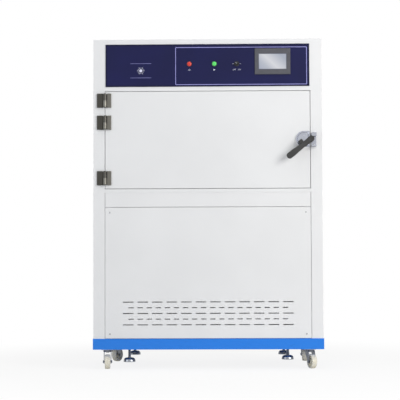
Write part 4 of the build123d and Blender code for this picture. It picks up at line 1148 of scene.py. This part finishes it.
class CHAMBER_OT_levelling_feet(ChamberOperator):
    """Turns the levelling feet: a domed pad and a threaded stem"""
    bl_idname = "chamber.levelling_feet"
    bl_label = "Levelling feet"

    def execute(self, context):
        pitch = context.scene.chamber_casters.thread_pitch
        neck, rim, dome, stem, groove = 0.012, 0.0064, 0.0176, 0.008, 0.0011
        dome_steps = 10
        thread_start = 0.0270
        for corner in CORNERS:
            node = "levelling_foot_" + corner
            low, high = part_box(node)
            centre = ((low.x + high.x) / 2, (low.y + high.y) / 2, low.z)
            radius = (high.x - low.x) / 2
            height = high.z - low.z
            profile = [(0, 0), (radius - 0.001, 0), (radius, 0.001), (radius, 0.0052), (radius - 0.0008, rim)]
            for step in range(1, dome_steps):
                angle = math.pi / 2 * step / dome_steps
                out = neck + (radius - neck - 0.0008) * math.cos(angle) ** 0.8
                profile.append((out, rim + dome * math.sin(angle)))
            profile += [(neck, rim + dome), (neck, 0.0250), (stem, 0.0262)]
            rows = int((height - 0.0285) / (pitch / 4))
            profile += [(stem - 0.0006, thread_start + row * pitch / 4) for row in range(rows)]
            profile += [(stem - 0.0014, height), (0, height)]

            def thread(reach, level, angle):
                if level < thread_start or level > height - 0.002 or reach > stem:
                    return reach
                phase = (level / pitch - angle / (2 * math.pi)) % 1
                return stem - groove + groove * abs(2 * phase - 1)

            foot = bmesh.new()
            lathe(foot, profile, set_at(centre), 40, thread)
            piece = add_piece(
                "threaded_foot_" + corner, foot, "foot_plate", "foot_" + corner, 60)
            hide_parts(node)
        return {"FINISHED"}


# Each lamp's name, place, target, size, colour and the setting that holds its power
LAMPS = (
    ("key_lamp", (3.6, -3.6, 2.6), (0.1, 0, 0.95), 2.6, (1.0, 0.985, 0.955), "key"),
    ("fill_lamp", (-3.8, -3.0, 1.6), (0, 0, 0.9), 2.4, (0.90, 0.95, 1.0), "fill"),
    ("top_lamp", (0.3, -0.6, 4.2), (0, 0, 0.9), 2.8, (1.0, 1.0, 1.0), "fill"),
)
# The camera's place in metres and its turns in radians, fitted to points of the cabinet's front
CAMERA_PLACE = (0.07903, -7.289, 0.6345)
CAMERA_YAW, CAMERA_PITCH, CAMERA_ROLL = 0.0175, 0.0438, -0.0037


class CHAMBER_OT_stage(ChamberOperator):
    """Sets up the pale floor, the white surround, the lamps and the camera"""
    bl_idname = "chamber.stage"
    bl_label = "Studio"

    def execute(self, context):
        scene = context.scene
        stage = scene.chamber_stage
        scene.view_settings.view_transform = "Standard"
        self.add_floor()
        self.set_world(scene, stage)
        for name, place, target, size, colour, setting in LAMPS:
            self.add_lamp(name, place, target, size, getattr(stage, setting), colour)
        self.add_camera(scene, stage)
        return {"FINISHED"}

    def add_floor(self):
        floor = bmesh.new()
        bmesh.ops.create_grid(floor, x_segments=2, y_segments=2, size=30)
        mesh = bpy.data.meshes.new("floor")
        floor.to_mesh(mesh)
        floor.free()
        finish = Finish("floor_white", Base_Color=(0.86, 0.86, 0.86), Roughness=0.9, Specular_IOR_Level=0.1)
        out = finish.node(
            "ShaderNodeVectorMath", {"operation": "LENGTH"}, {0: finish.place()}, output="Value")
        near_glow = 0.86
        share = finish.seen() * (near_glow + out.step(0.9, 2.4) * (1 - near_glow))
        surface = Value(finish, finish.surface.outputs[0])
        glow = finish.node("ShaderNodeEmission")
        mixed = finish.node("ShaderNodeMixShader", sockets={0: share, 1: surface, 2: glow})
        finish.feed(finish.tree.nodes["Material Output"].inputs[0], mixed)
        mesh.materials.append(finish.material)
        made = bpy.data.objects.new("floor", mesh)
        bpy.context.scene.collection.objects.link(made)

    def set_world(self, scene, stage):
        world = bpy.data.worlds.new("surround")
        world.use_nodes = True
        scene.world = world
        graph = Graph(world.node_tree)
        background = graph.tree.nodes["Background"]
        strength = graph.node("ShaderNodeMapRange", sockets={
            "Value": graph.seen(), "To Min": stage.daylight, "To Max": 1.0})
        graph.feed(background.inputs["Color"], (1, 1, 1))
        graph.feed(background.inputs["Strength"], strength)

    def add_lamp(self, name, place, target, size, power, colour):
        light = bpy.data.lights.new(name, "AREA")
        light.shape = "SQUARE"
        light.size = size
        light.energy = power
        light.color = colour
        lamp = bpy.data.objects.new(name, light)
        lamp.matrix_world = set_at(place, Vector(place) - Vector(target), RIGHT)
        bpy.context.scene.collection.objects.link(lamp)

    def add_camera(self, scene, stage):
        data = bpy.data.cameras.new("camera")
        data.lens = stage.lens
        data.sensor_width = 36  # Millimetres
        data.clip_end = 100  # Metres
        camera = bpy.data.objects.new("camera", data)
        turns = ((CAMERA_YAW, "Z"), (math.pi / 2 + CAMERA_PITCH, "X"), (CAMERA_ROLL, "Z"))
        yaw, pitch, roll = (Matrix.Rotation(angle, 4, axis) for angle, axis in turns)
        camera.matrix_world = Matrix.Translation(CAMERA_PLACE) @ yaw @ pitch @ roll
        scene.collection.objects.link(camera)
        scene.camera = camera


OPERATORS = (
    CHAMBER_OT_finishes,
    CHAMBER_OT_stage,
    CHAMBER_OT_panel_print,
    CHAMBER_OT_pilot_lamps,
    CHAMBER_OT_selector_mark,
    CHAMBER_OT_latch_lever,
    CHAMBER_OT_front_screws,
    CHAMBER_OT_back_screws,
    CHAMBER_OT_door_seal,
    CHAMBER_OT_wheels,
    CHAMBER_OT_caster_bolts,
    CHAMBER_OT_levelling_feet,
)


class CHAMBER_PT_sidebar(bpy.types.Panel):
    """Lists the chamber's steps and settings."""
    bl_idname = "CHAMBER_PT_sidebar"
    bl_label = "Ageing chamber"
    bl_space_type = "VIEW_3D"
    bl_region_type = "UI"
    bl_category = "Chamber"

    def draw(self, context):
        layout = self.layout
        for operator in OPERATORS:
            layout.operator(operator.bl_idname)
        for name, group in SETTINGS.items():
            box = layout.box()
            for setting in group.__annotations__:
                box.prop(getattr(context.scene, name), setting)


CLASSES = (*SETTINGS.values(), *OPERATORS, CHAMBER_PT_sidebar)


def register():
    for cls in CLASSES:
        bpy.utils.register_class(cls)
    for name, group in SETTINGS.items():
        setattr(bpy.types.Scene, name, PointerProperty(type=group))


def unregister():
    for name in SETTINGS:
        delattr(bpy.types.Scene, name)
    for cls in reversed(CLASSES):
        bpy.utils.unregister_class(cls)


def main():
    """Runs every step in order."""
    register()
    for operator in OPERATORS:
        category, step = operator.bl_idname.split(".")
        getattr(getattr(bpy.ops, category), step)()


if __name__ == "__main__":
    main()
